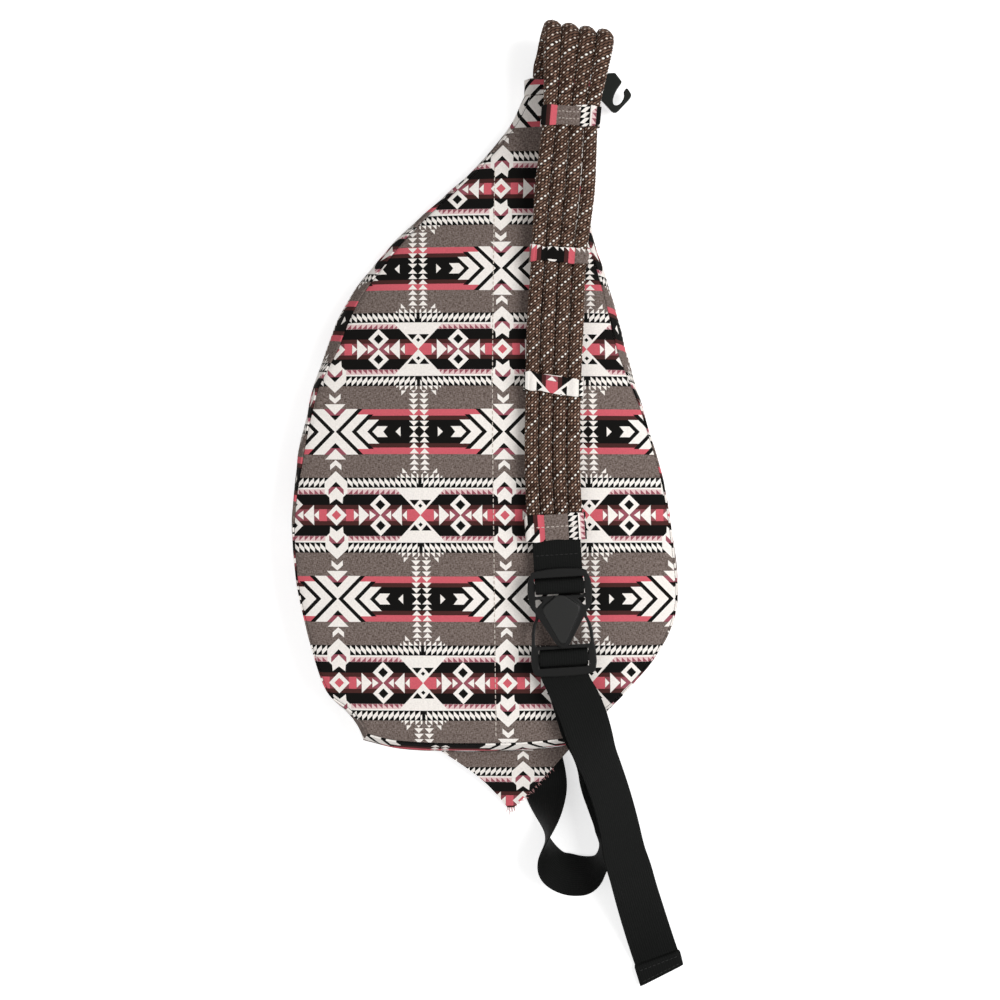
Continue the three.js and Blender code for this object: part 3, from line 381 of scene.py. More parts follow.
# cotton canvas, printed: quite matt, with heather yarns in its plain bands
canvas, tree, shader = new_material("printed_cotton_canvas", roughness=0.95, specular_ior_level=0.1)
place = add_node(tree, "UVMap", uv_map="cloth")
across = add_node(tree, "VectorMath", place, (1 / MM, 0, 0), operation="DOT_PRODUCT")
across = add_node(tree, "Math", across, HALF_WIDTH, operation="PINGPONG")
down = add_node(tree, "VectorMath", place, (0, 1 / MM, 0), operation="DOT_PRODUCT")
down = add_node(tree, "Math", down, HALF_HEIGHT, operation="PINGPONG")
tile = add_node(tree, "CombineXYZ", across, down, 1)
from_saw = add_node(tree, "Math", across, SAW_START, operation="SUBTRACT")
on_tooth = add_node(tree, "Math", from_saw, SAW_PITCH, operation="FLOORED_MODULO")
saw = add_node(tree, "CombineXYZ", on_tooth, down, 1)
from_fold = add_node(tree, "Math", HALF_WIDTH, across, operation="SUBTRACT")
from_trunk = add_node(tree, "Math", from_fold, TREE_SPREAD, operation="SUBTRACT")
from_trunk = add_node(tree, "Math", from_trunk, operation="ABSOLUTE")
on_twig = add_node(tree, "Math", down, TREE_PITCH, operation="FLOORED_MODULO")
twig = add_node(tree, "CombineXYZ", from_trunk, on_twig, 1)
print("repeat:", REPEAT_WIDTH, "x", REPEAT_HEIGHT, "mm")


# %% Tools for motifs
def on_fold(a, b):
    """Whether an edge lies on a fold of the repeat, where the shape goes on past it."""
    return any(a[k] == b[k] and a[k] in (0, half) for k, half in ((0, HALF_WIDTH), (1, HALF_HEIGHT)))


def inside(point, *corners):
    """How far a point lies inside a flat shape, in millimetres; below zero is outside."""
    middle = np.mean(corners, axis=0)
    depth = None
    for a, b in zip(corners, corners[1:] + corners[:1]):
        if on_fold(a, b):
            continue
        normal = unit(np.array([a[1] - b[1], b[0] - a[0]], float))
        offset = -normal.dot(a)
        side = math.copysign(1, normal.dot(middle) + offset)
        edge = add_node(tree, "VectorMath", point, (*(side * normal), side * offset), operation="DOT_PRODUCT")
        depth = edge if depth is None else add_node(tree, "Math", depth, edge, operation="MINIMUM")
    return depth


def either(*depths):
    joined = depths[0]
    for depth in depths[1:]:
        joined = add_node(tree, "Math", joined, depth, operation="MAXIMUM")
    return joined


def within(row, motif):
    """A repeated motif, kept to its own row."""
    return add_node(tree, "Math", row, motif, operation="MINIMUM")


def paint(below, colour, depth):
    inked = add_node(tree, "Math", depth, 0, operation="GREATER_THAN")
    return add_node(tree, "Mix", inked, below, colour, data_type="RGBA")


# %% Bands of colour
BLACK, WHITE, PINK = "#131211", "#f6f0ea", "#d1606b"
MAROON, MAUVE, TAUPE = "#4a2a28", "#9a5460", "#675b56"
ROSE, BLUSH = "#8a4a50", "#e6c9c8"
# where each band starts, in millimetres from the middle of the X row
BANDS = [
    (0, BLACK), (8.3, MAROON), (11.4, PINK), (16.1, TAUPE), (32.9, BLACK), (40.1, WHITE), (41.3, BLUSH),
    (44.7, BLACK), (52.5, MAROON), (55.5, ROSE),
]
share_down = add_node(tree, "Math", down, HALF_HEIGHT, operation="DIVIDE")
bands = add_node(tree, "ValToRGB", share_down)
bands.color_ramp.interpolation = "CONSTANT"
for start, colour in BANDS[1:]:
    bands.color_ramp.elements.new(start / HALF_HEIGHT)
bands.color_ramp.elements.remove(bands.color_ramp.elements[-1])
for element, (start, colour) in zip(bands.color_ramp.elements, BANDS):
    element.color = linear(colour)

# woven yarns: finer than a pixel on the real cloth, so they are drawn 0.55 mm wide to show
YARN = 0.55
LONG_YARN = 0.25
HEATHER_FROM_YARN = (0.72, 1.28)
warp = add_node(tree, "VectorMath", place, (1 / MM, LONG_YARN / MM, 1), operation="MULTIPLY")
weft = add_node(tree, "VectorMath", place, (LONG_YARN / MM, 1 / MM, 1), operation="MULTIPLY")
warp_tone = add_node(tree, "TexNoise", warp, 1 / YARN, 1.0, noise_dimensions="2D")
weft_tone = add_node(tree, "TexNoise", weft, 1 / YARN, 1.0, noise_dimensions="2D")
yarn = add_node(tree, "Math", warp_tone, weft_tone, operation="ADD")
heather = add_node(tree, "MapRange", yarn, *HEATHER_FROM_YARN)
heather = add_node(tree, "Mix", heather, linear("#5a4d47"), linear("#877a74"), data_type="RGBA")
plain_band = inside(tile, (0, 16.1), (HALF_WIDTH, 16.1), (HALF_WIDTH, 32.9), (0, 32.9))
print("bands:", len(BANDS))

# %% White motifs
H, V = HALF_WIDTH, HALF_HEIGHT
saw_row = inside(tile, (SAW_START, 32.9), (H - 1.2, 32.9), (H - 1.2, 40.1), (SAW_START, 40.1))
tree_rows = inside(tile, (H - 8, 0), (H, 0), (H, 29.6), (H - 8, 29.6))
step_row = inside(tile, (44.9, 29.6), (H - 1, 29.6), (H - 1, 33), (44.9, 33))
white_shapes = either(
    inside(tile, (0, 0), (0.36, 0), (16.76, 16.4), (8.2, 16.4), (0, 8.2)),
    inside(tile, (0, 12.26), (7.64, 19.9), (0, 19.9)),
    inside(tile, (4, 0), (12, 0), (24.4, 12.4), (16.4, 12.4)),
    inside(tile, (15.7, 0), (23.4, 0), (31.96, 8.56), (24.26, 8.56)),
    inside(tile, (27.1, 0), (35.1, 0), (38.2, 3.9), (30.9, 3.9)),
    inside(tile, (44, 0), (47.6, 0), (47.6, 3.5)),
    inside(tile, (0, 20.25), (4.14, 23.8), (4.14, 27.5), (0, 23.95)),
    inside(tile, (0, 28.2), (8.34, 36), (8.34, 43.85), (5, 47.1), (0, 47.1)),
    inside(tile, (0, 47), (5, 47), (4.63, 51.6), (0, 48.1)),
    inside(tile, (0, V - 7.56), (7.56, V), (0, V)),
    inside(tile, (12.76, V), (12.76, V - 3.42), (16.4, V)),
    inside(tile, (16.4, V), (16.4, V - 7.27), (23.9, V)),
    inside(tile, (24.2, V), (24.2, V - 3.28), (28.7, V)),
    inside(tile, (39.8, V), (39.8, V - 3.28), (35.9, V)),
    inside(tile, (47.6, V), (47.6, V - 7.27), (40.2, V)),
    inside(tile, (51.3, V), (51.3, V - 3.42), (48, V)),
    inside(tile, (24.6, 52.3), (32.1, 44.8), (39.6, 52.3), (32.1, 59.8)),
    inside(tile, (H - 17.1, 41.3), (H, 41.3), (H, V)),
    inside(tile, (48.5, 26), (48.5, 29.6), (52, 29.6)),
    within(saw_row, inside(saw, (0, 32.9), (SAW_PITCH, 36.57), (SAW_PITCH, 39.96), (0, 36.29))),
    within(tree_rows, inside(twig, (0, 0.2), (3.35, 3.77), (0, 3.77))),
    within(step_row, inside(saw, (0.2, 29.8), (0.2, 33), (3.5, 33))),
)
print("white motifs drawn")

# %% Dark and coloured motifs
tooth_row = inside(tile, (SAW_START, 41.3), (45.6, 41.3), (45.6, 44.7), (SAW_START, 44.7))
pink_blocks = either(
    inside(tile, (7, V), (7, 55.5), (12.6, 55.5), (12.6, V)),
    inside(tile, (51.5, V), (51.5, 55.5), (H, 55.5), (H, V)),
)
mauve_shapes = either(
    inside(tile, (0, 11.8), (3.74, 11.8), (8.34, 16.4), (0, 16.4)),
    within(tooth_row, inside(saw, (0.2, 44.7), (3.6, 44.7), (3.6, 41.5))),
)
black_shapes = either(
    inside(tile, (0.36, 0), (4, 0), (20.4, 16.4), (16.76, 16.4)),
    inside(tile, (12, 0), (15.7, 0), (28.1, 12.4), (24.4, 12.4)),
    inside(tile, (0, 8.06), (3.74, 11.8), (0, 11.8)),
    inside(tile, (28.5, 52.3), (32.1, 48.7), (35.7, 52.3), (32.1, 55.9)),
    inside(tile, (H - 7.9, 48.8), (H - 0.66, 48.8), (H - 4.3, 53)),
    inside(tile, (H - 1.57, 53), (H, 51.43), (H, 54.57)),
    inside(tile, (0, 35.9), (3.7, 39.6), (0, 39.6)),
)
mauve_details = either(
    inside(tile, (0, 39.6), (3.7, 39.6), (5.56, 41.46), (5.56, 45.36), (0, 39.8)),
    inside(tile, (32.9, V), (35.5, V), (39.1, V - 3.6), (36.5, V - 3.6)),
    inside(tile, (31.3, V), (28.7, V), (25.1, V - 3.6), (27.7, V - 3.6)),
)
pink_details = inside(tile, (0, V - 3.5), (3.5, V), (0, V))
print("dark and coloured motifs drawn")

# %% Canvas finish
design = paint(bands, heather, plain_band)
layers = [(PINK, pink_blocks), (MAUVE, mauve_shapes), (WHITE, white_shapes), (BLACK, black_shapes),
          (MAUVE, mauve_details), (PINK, pink_details)]
for colour, shapes in layers:
    design = paint(design, linear(colour), shapes)
# yarns make every printed colour a little uneven, and stand a quarter of a millimetre high
UNEVEN_FROM_YARN = (0.6, 1.4, 0.92, 1.08)
YARN_BUMP, YARN_RELIEF = 0.3, 0.25 * MM
uneven = add_node(tree, "MapRange", yarn, *UNEVEN_FROM_YARN)
woven = add_node(tree, "Mix", 1.0, design, uneven, data_type="RGBA", blend_type="MULTIPLY")
connect(tree, woven, shader, "Base Color")
connect(tree, add_node(tree, "Bump", YARN_BUMP, YARN_RELIEF, None, yarn), shader, "Normal")
print("finish:", canvas.name, "with", len(tree.nodes), "nodes")

# %% [markdown]
# ## The body's outline
# The bag is a teardrop. Its back panel and its gussets are sewn along the same three seams, so one outline
# serves them all: the widest line of the gusset down each side and along the bottom. A seam is that line
# moved towards the spine of the bag, and its height grows from the flat neck to the full part.

# %% Outline
BODY_WIDTH, BODY_TOP, BODY_BOTTOM, BODY_CENTRE_Y = 281, 298, -184, -20
NECK_WIDTH, NECK_X, NECK_DEPTH = 49, 53.5, 19
BODY_DEPTH, TAPER_LENGTH, CROWN = 42, 250, 8
BACK_INSET, FRONT_INSET, CLOTH, SEAM_GAP = 8, 14, 1.2, 0.3
# shares of half the width and of the length
LEFT_SIDE = [
    (0.15, 0.9647), (0.09, 0.94), (-0.07, 0.886), (-0.477, 0.775), (-0.722, 0.684), (-0.847, 0.593),
    (-0.945, 0.486), (-1, 0.367), (-0.982, 0.276), (-0.92, 0.185), (-0.819, 0.094), (-0.72, 0.0625),
    (-0.667, 0.04), (-0.631, 0.017),
]
BOTTOM_SIDE = [(-0.631, 0.017), (-0.5, 0.007), (-0.33, 0.002), (-0.07, 0), (0.21, 0.002), (0.468, 0.01)]
RIGHT_SIDE = [
    (0.553, 0.9), (0.561, 0.8), (0.671, 0.684), (0.748, 0.593), (0.836, 0.502), (0.926, 0.412),
    (0.982, 0.309), (1, 0.232), (0.961, 0.185), (0.865, 0.138), (0.738, 0.094), (0.468, 0.01),
]


def outline(shares, corner=None):
    size = (BODY_WIDTH / 2, BODY_TOP - BODY_BOTTOM)
    points = np.array(shares) * size + (0, BODY_BOTTOM)
    start = [] if corner is None else [(NECK_X + corner * NECK_WIDTH / 2, BODY_TOP)]
    return np.array([*start, *points])


LEFT = outline(LEFT_SIDE, -1)
RIGHT = outline(RIGHT_SIDE, 1)
BOTTOM = outline(BOTTOM_SIDE)
print("outline: sides of", [round(lengths_along(side)[-1]) for side in (LEFT, BOTTOM, RIGHT)], "mm")


# %% Seams
# heights on each side, and by what share the back seam wanders in or out there
LEFT_WANDERS = [
    (-170, 1), (-145, 0.3), (-60, 0.2), (-20, 0.35), (25, 0.6), (82, 0.6), (112, 1.35), (165, 1.5), (215, 1),
]
RIGHT_WANDERS = [(-172, 1), (-145, 0.3), (65, 0.3), (105, 1)]


def inset(points, distance):
    """Points of the outline moved towards the bag's spine."""
    top, centre = np.array([NECK_X, BODY_TOP]), np.array([0, BODY_CENTRE_Y])
    spine = centre - top
    share = np.clip((points - top) @ spine / spine.dot(spine), 0, 1)
    inward = unit(top + share[..., None] * spine - points)
    return points + inward * np.asarray(distance)[..., None]


def seam_height(y):
    share = np.clip((BODY_TOP - y) / TAPER_LENGTH, 0, 1)
    return NECK_DEPTH + (BODY_DEPTH - NECK_DEPTH) * share**2 * (3 - 2 * share)


def back_inset(points):
    """How far the back seam lies in from the widest line where the bag has its full depth."""
    left, right = [np.interp(points[..., 1], *zip(*wanders)) for wanders in (LEFT_WANDERS, RIGHT_WANDERS)]
    return BACK_INSET * np.where(points[..., 0] < 0, left, right)


def back_seam(points):
    return inset(points, back_inset(points) * seam_height(points[..., 1]) / BODY_DEPTH + CLOTH + SEAM_GAP)


print("seam height: from", seam_height(BODY_TOP), "to", seam_height(BODY_BOTTOM), "mm")

# %% [markdown]
# ## Back panel
# The back panel is quilted: canvas over a thin pad, full in the middle and pulled down at its seams. It is
# a patch between its four seams, raised by a crown that is steep beside the seam and flat in the middle,
# with the soft creases of cloth that has been folded in a shop. The print runs straight over it, a little
# drawn out towards the bottom, where the cloth was pulled as it was sewn.

# %% Back panel
PANEL_ROWS, PANEL_COLUMNS = 220, 120
PAD, PAD_CLEARANCE = 6, 0.5
# soft creases: stretch along the bag, then size, height and seed of the noise
PANEL_CREASES = [(1, 70, 1.6, 3), (0.5, 26, 0.7, 9)]
# where the origin lies in the print, the cloth's stretch each way, its lean, and how the stretch grows
PRINT_ACROSS, PRINT_UP = 107.59, -48.93
STRETCH_ACROSS, STRETCH_UP, LEAN, SPREAD = 1.0143, 1.0016, 0.0151, 4.32e-5
# above this height the gathered neck draws the print sideways and upwards
NECK_PULL_FROM, NECK_PULL_ACROSS, NECK_PULL_UP = 190, 5.4e-4, 7.2e-4


def patch(u, v):
    """Points of the back panel in plan, from left (u 0) to right and from the neck (v 0) to the bottom."""
    left, right = [back_seam(smooth_line(side, len(v))[0]) for side in (LEFT, RIGHT)]
    bottom = back_seam(smooth_line(BOTTOM, len(u))[0])
    u, v = u[None, :, None], v[:, None, None]
    top = left[0] * (1 - u) + right[0] * u
    across = left[:, None] * (1 - u) + right[:, None] * u
    along = top * (1 - v) + bottom[None] * v
    corners = top * (1 - v) + (bottom[0] * (1 - u) + bottom[-1] * u) * v
    return across + along - corners


def panel_print(x, y):
    """Where a place on the back panel lies in the print, in millimetres of cloth."""
    pull = np.maximum(y - NECK_PULL_FROM, 0) ** 2
    return np.stack([PRINT_ACROSS + STRETCH_ACROSS * x + LEAN * y - NECK_PULL_ACROSS * pull,
                     PRINT_UP + STRETCH_UP * y + SPREAD * y**2 - NECK_PULL_UP * pull], axis=-1)


u, v = np.linspace(0, 1, PANEL_COLUMNS), np.linspace(0, 1, PANEL_ROWS)
plan = patch(u, v)
crown = np.sqrt(np.sin(math.pi * u)[None] * np.sin(math.pi * v)[:, None])
level = seam_height(plan[..., 1]) + CROWN * crown
level += crown * sum(ripple(plan * (1, stretch), *crease) for stretch, *crease in PANEL_CREASES)
top = np.concatenate([plan, level[..., None]], axis=-1) * MM
under = np.concatenate([plan, (level - PAD + PAD_CLEARANCE)[..., None]], axis=-1) * MM
uv = (panel_print(plan[..., 0], plan[..., 1]) * MM).reshape(-1, 2)
points, faces = shell(top, under)
back_panel = make_piece("quilted_back_panel", points, faces, canvas, ["back_panel"],
                        uv=np.vstack([uv, uv]))
print(back_panel.name, len(faces), "faces")

# %% [markdown]
# ## Gussets
# A strip of the same canvas runs round the body and gives it its depth. It bulges between the back seam and
# the front seam. Along the sides the strip is cut lengthwise, so the print's rows cross it. At the neck and
# low on the sides the back panel's cloth is rolled over the edge, and its print goes on. Along the bottom the
# print stands upright and goes on into the tab.

# %% Gussets
GUSSET_COLUMNS, SIDE_ROWS, BOTTOM_ROWS = 18, 260, 90
GUSSET_CREASE_SIZE, GUSSET_CREASE_HEIGHT = 18, 1.1
# shares of the back inset, of the front inset and of the seam's height, from the back seam to the front seam
BULGE = smooth_line([(1, 0, 1), (0.3, 0, 0.78), (0, 0, 0.5), (0, 0.28, 0.2), (0, 1, 0)], GUSSET_COLUMNS)[0]
# where the back seam lies in the print on the side strips, and on the bottom strip
SIDE_SEAM_IN_PRINT, BOTTOM_SEAM_IN_PRINT = 42, 4
TAB_PRINT_X = 28
# above this height the back panel's cloth is wrapped round the neck, so the panel's print goes on there
WRAPPED_FROM = 225


def gusset(name, node, side, rows, row_at=None, rolled_below=BODY_BOTTOM):
    """A strip along one side. A row of the print crosses it at the height row_at. Below rolled_below the back
    panel's cloth is rolled over the side, so the panel's print goes on."""
    edge = smooth_line(side, rows)[0]
    height = seam_height(edge[:, 1])
    back, front, rise = BULGE.T

    def skin(wall):
        at_full_depth = back_inset(edge)[:, None] * back + FRONT_INSET * front
        distance = at_full_depth * height[:, None] / BODY_DEPTH + wall
        plan = inset(np.repeat(edge[:, None], GUSSET_COLUMNS, axis=1), distance)
        return np.concatenate([plan, height[:, None, None] * rise[None, :, None]], axis=-1)

    outer, inner = skin(0), skin(CLOTH)
    crease = ripple(outer, GUSSET_CREASE_SIZE, GUSSET_CREASE_HEIGHT, len(name)) * np.sin(math.pi * rise)[None]
    puff = unit(outer - inner) * crease[..., None]
    along = lengths_along(edge)
    across = np.cumsum(np.linalg.norm(np.diff(outer, axis=1, prepend=outer[:, :1]), axis=2), axis=1)
    if row_at is None:
        lengthwise = np.repeat(edge[:, :1] - TAB_PRINT_X, GUSSET_COLUMNS, axis=1)
        uv = np.stack([lengthwise, across + BOTTOM_SEAM_IN_PRINT], axis=-1)
    else:
        from_row = along - np.interp(row_at, edge[::-1, 1], along[::-1])
        from_row = np.repeat(from_row[:, None], GUSSET_COLUMNS, axis=1)
        uv = np.stack([across + SIDE_SEAM_IN_PRINT, from_row], axis=-1)
        wrapped = (outer[..., 1] > WRAPPED_FROM) | (outer[..., 1] < rolled_below)
        spread = inset(np.repeat(outer[:, :1, :2], GUSSET_COLUMNS, axis=1), -across)
        uv[wrapped] = panel_print(spread[..., 0], spread[..., 1])[wrapped]
    uv = (uv * MM).reshape(-1, 2)
    points, faces = shell((outer + puff) * MM, (inner + puff) * MM)
    make_piece(name, points, faces, canvas, [node], uv=np.vstack([uv, uv]))
    print(name, round(along[-1]), "mm long")


gusset("left_gusset_cloth", "left_gusset", LEFT, SIDE_ROWS, row_at=131, rolled_below=-58)
gusset("right_gusset_cloth", "right_gusset", RIGHT, SIDE_ROWS, row_at=122.8, rolled_below=4)
gusset("bottom_gusset_cloth", "bottom_gusset", BOTTOM, BOTTOM_ROWS)

# %% [markdown]
# ## Keepers, cap and neck binding
# Strips of canvas are sewn into loops: three hold the ropes side by side, one caps their ends, and one binds
# the neck. Some are cut across the print, because offcuts are used as they come. Each is a flattened ring
# that sinks a little between the ropes, with an edge that isn't quite straight.

# %% Loops of canvas
LOOP_POINTS = 144
SQUARENESS = 5
EDGE_WAVE, EDGE_WAVE_SIZE = 1.4, 7


def blunt(wave):
    """A sine made blunt, so that a ring gets long flat sides and short round ones."""
    return np.sign(wave) * np.abs(wave) ** (2 / SQUARENESS)


def loop_of_cloth(name, nodes, centre, along, half_width, half_heights, length, wall, dip, print_at,
                  turned=False, slant=0.0):
    along = unit(np.array(along, float))
    sideways = unit(np.array([along[1], -along[0], 0]))
    upward = np.cross(sideways, along)
    turn = np.linspace(0, 2 * math.pi, LOOP_POINTS, endpoint=False)[:, None]
    station = np.linspace(length / 2, -length / 2, len(half_heights))[None]

    def skin(wall):
        high = np.array(half_heights)[None] - wall
        x = -(half_width - wall) * blunt(np.sin(turn)) + 0 * high
        z = -high * blunt(np.cos(turn))
        z -= dip * np.cos(math.pi * x / ROPE_PITCH) ** 2 * z / high * (np.abs(x) < 2 * ROPE_PITCH - 2)
        seed = len(name) + float(centre[1])
        wave = ripple(np.stack([x, z, 0 * x], axis=-1), EDGE_WAVE_SIZE, EDGE_WAVE, seed)
        y = station + wave * (station / length * 2) ** 2 * np.sign(station) + slant * x
        return x, y, z

    def placed(x, y, z):
        across, lengthwise, up = x[..., None] * sideways, y[..., None] * along, z[..., None] * upward
        return (np.array(centre) + across + lengthwise + up) * MM

    x, y, z = skin(0)
    section = np.stack([x, z], axis=-1)
    around = np.cumsum(np.linalg.norm(np.diff(section, axis=0, prepend=section[-1:]), axis=-1), axis=0)
    around -= around[LOOP_POINTS // 2]
    lengthwise = y - slant * x
    uv = np.stack([lengthwise, around] if turned else [around, lengthwise], axis=-1) - print_at
    uv = (uv * MM).reshape(-1, 2)
    points, faces = shell(placed(x, y, z), placed(*skin(wall)), ring=True)
    piece = make_piece(name, points, faces, canvas, nodes, uv=np.vstack([uv, uv]), crease=70)
    print(name, "of", round(float(2 * around[-1].max())), "mm of canvas")
    return piece


# %% Keepers
ROPE_ROW_HALF_WIDTH = 19.65
ROPE_ROW_HALF_HEIGHT = 4.8
KEEPER_CLEARANCE = 1.6
KEEPER_WALL, KEEPER_DIP = 1.1, 1.0
KEEPER_SWELL, KEEPER_COLUMNS = 0.15, 15
# the keeper's place in the route, its length, where the print starts on it, and how far it slants
KEEPERS = [(13, 14, (-41, -26.4), 0.06), (15, 11, (-51.5, -4.8), 0), (17, 13, (-68.6, -61.15), -0.13)]
swelling = KEEPER_SWELL * np.cos(np.linspace(-math.pi, math.pi, KEEPER_COLUMNS))
keepers = []
for number, (station, length, print_at, slant) in enumerate(KEEPERS, start=1):
    middle, before, after = ROPE_ROUTE[[station, station - 1, station + 1], :3]
    keepers.append(loop_of_cloth(
        f"canvas_keeper_{number}", [f"keeper_{number}"], middle, before - after,
        ROPE_ROW_HALF_WIDTH + KEEPER_CLEARANCE, ROPE_ROW_HALF_HEIGHT + KEEPER_CLEARANCE + swelling, length,
        KEEPER_WALL, KEEPER_DIP, print_at, turned=True, slant=slant))

# %% Cap and neck binding
BUCKLE_X, BUCKLE_Y, BUCKLE_TURN = 54.4, -86, math.radians(3.6)
CAP_DISTANCE, CAP_HEIGHT, CAP_LENGTH, CAP_HALF_WIDTH = 67, 57, 18.5, 21.6
CAP_WALL, CAP_DIP, CAP_COLUMNS = 1.2, 0.7, 23
# the cap is full over the ropes and flat on the webbing: shares of its length, and half its height there
CAP_SHARES, CAP_HALF_HEIGHTS = [0, 0.55, 1], [6.8, 6.8, 3.8]
NECK_WALL, NECK_COLUMNS = 1.4, 9


def on_buckle(along, z=0.0):
    """A place on the strap's own line through the buckle."""
    return np.array([BUCKLE_X - along * math.sin(BUCKLE_TURN), BUCKLE_Y + along * math.cos(BUCKLE_TURN), z])


cap_heights = np.interp(np.linspace(0, 1, CAP_COLUMNS), CAP_SHARES, CAP_HALF_HEIGHTS)
rope_cap = loop_of_cloth("canvas_rope_cap", ["rope_end_cap"], on_buckle(CAP_DISTANCE, CAP_HEIGHT),
                         on_buckle(1) - on_buckle(0), CAP_HALF_WIDTH, cap_heights, CAP_LENGTH, CAP_WALL,
                         CAP_DIP, print_at=(-28, -24), turned=True)
neck_low, neck_high = [np.array(corner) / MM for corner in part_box("neck_binding")]
neck_size, neck_middle = neck_high - neck_low, (neck_low + neck_high) / 2
neck_middle[0] = NECK_X
neck_print = panel_print(*neck_middle[:2])
loop_of_cloth("canvas_neck_binding", ["neck_binding"], neck_middle, (0, 1, 0), NECK_WIDTH / 2,
              [neck_size[2] / 2] * NECK_COLUMNS, neck_size[1], NECK_WALL, 0, -neck_print)

# %% [markdown]
# ## Bottom tab
# A triangle of canvas hangs from the bottom seam and holds the webbing. It is two layers, so it is thick at
# its edges and keeps nearly flat. Its print stands upright. The raw edge at its tip and down its right side
# has begun to fray, which short loose threads show.

# %% Bottom tab
TAB_FROM, TAB_TO = 0.37, 0.99
TAB_TIP, TAB_TIP_HALF_WIDTH, TAB_ROOT_HEIGHT = np.array([19, -229, 3.2]), 2.5, 21
TAB_BELLY, TAB_HOLLOW, TAB_THICKNESS = 1, 5, 2.4
TAB_PRINT_Y = -163.5
TAB_ROWS, TAB_COLUMNS = 60, 48
TAB_CREASE_SIZE, TAB_CREASE_HEIGHT, TAB_CREASE_SEED = 22, 1.2, 5

bottom_line = smooth_line(BOTTOM, CURVE_POINTS)[0]
picked = np.linspace(TAB_FROM, TAB_TO, TAB_COLUMNS) * (len(bottom_line) - 1)
root = inset(bottom_line[picked.round().astype(int)], np.full(TAB_COLUMNS, -SEAM_GAP))
root = np.concatenate([root, np.full((TAB_COLUMNS, 1), TAB_ROOT_HEIGHT)], axis=1)
share_across, share_down = np.linspace(0, 1, TAB_COLUMNS), np.linspace(0, 1, TAB_ROWS)
tip = TAB_TIP + (2 * share_across[:, None] - 1) * np.array([TAB_TIP_HALF_WIDTH, 0, 0])
tab = root[None] * (1 - share_down[:, None, None]) + tip[None] * share_down[:, None, None]
sag = np.sin(math.pi * share_down)[:, None]
tab[..., 0] += TAB_HOLLOW * (1 - share_across[None]) * sag
tab[..., 1] -= TAB_BELLY * share_across[None] * sag
tab[..., 2] += ripple(tab, TAB_CREASE_SIZE, TAB_CREASE_HEIGHT, TAB_CREASE_SEED) * sag
half = np.array([0, 0, TAB_THICKNESS / 2])
uv = ((tab[..., :2] - (TAB_PRINT_X, TAB_PRINT_Y)) * MM).reshape(-1, 2)
points, faces = shell((tab + half) * MM, (tab - half) * MM)
tab_piece = make_piece("canvas_bottom_tab", points, faces, canvas, ["bottom_tab"],
                       uv=np.vstack([uv, uv]))
print(tab_piece.name, len(faces), "faces")


# %% Frayed threads
def mottled_finish(name, dark, light, size, relief, **constants):
    """A finish that drifts between two tones over patches of one size, with a relief, both in millimetres."""
    material, tree, shader = new_material(name, **constants)
    place = add_node(tree, "TexCoord").outputs["Object"]
    patches = add_node(tree, "TexNoise", place, 1 / (size * MM), 2.0)
    tone = add_node(tree, "Mix", patches, linear(dark), linear(light), data_type="RGBA")
    connect(tree, tone, shader, "Base Color")
    connect(tree, add_node(tree, "Bump", 0.4, relief * MM, None, patches), shader, "Normal")
    return material


FRAY_THICKNESS, FRAY_LOWEST = 0.45, 0.4
FRAY_TAPER = np.array([1, 1, 1, 0.9, 0.7, 0.3])
# how far the threads spread sideways and in height, how much they bend, and the shortest share of a length
FRAY_SPREAD, FRAY_BEND, FRAY_SHORTEST = 0.45 * np.array([1, 1, 0.3]), 0.6, 0.4
# the edges that fray: their points, which way the threads lie, how many there are and the longest of them
FRAYED_EDGES = [(tab[-1], (0, -1, 0), 9, 7), (tab[20:, -1], (0.8, -0.6, 0), 26, 3)]
# dyed cotton yarn: soft and matt, pink where the print was pink
fray_yarn = mottled_finish("frayed_cotton_yarn", "#b8646c", "#e2c4be", 3, 0.05, roughness=0.95,
                           specular_ior_level=0.1)
draw = np.random.default_rng(4)
frayed = []
for edge, outward, count, longest in FRAYED_EDGES:
    for start in edge[np.linspace(0, len(edge) - 1, count).astype(int)]:
        lean = unit(np.array(outward) + draw.uniform(-1, 1, 3) * FRAY_SPREAD)
        bend = draw.uniform(-FRAY_BEND, FRAY_BEND)
        reach = np.linspace(-1, longest * draw.uniform(FRAY_SHORTEST, 1), len(FRAY_TAPER))[:, None]
        curl = np.array([lean[1], -lean[0], -0.3]) * bend * reach**2 / longest
        frayed.append(np.maximum(start + lean * reach + curl, (-np.inf, -np.inf, FRAY_LOWEST)) * MM)
points, faces = tubes(frayed, FRAY_THICKNESS / 2 * MM * FRAY_TAPER, 5)
make_piece("frayed_tab_threads", points, faces, fray_yarn)
print("frayed threads:", len(frayed))

# %% [markdown]
# ## Webbing
# The straps are woven polypropylene webbing, 34 mm wide, with fine ribs along them. The lower one comes from
# under the tab, takes half a twist, loops on the floor, rises to the frame of the buckle, passes round its
# bar and runs down again as a loose tail with a sewn hem. One strip function serves both straps: a route
# gives the middle, and a heading and a tilt at each station say which way the strip lies there.

# %% Webbing finish
WAVE_LENGTH = 2 * math.pi / 20


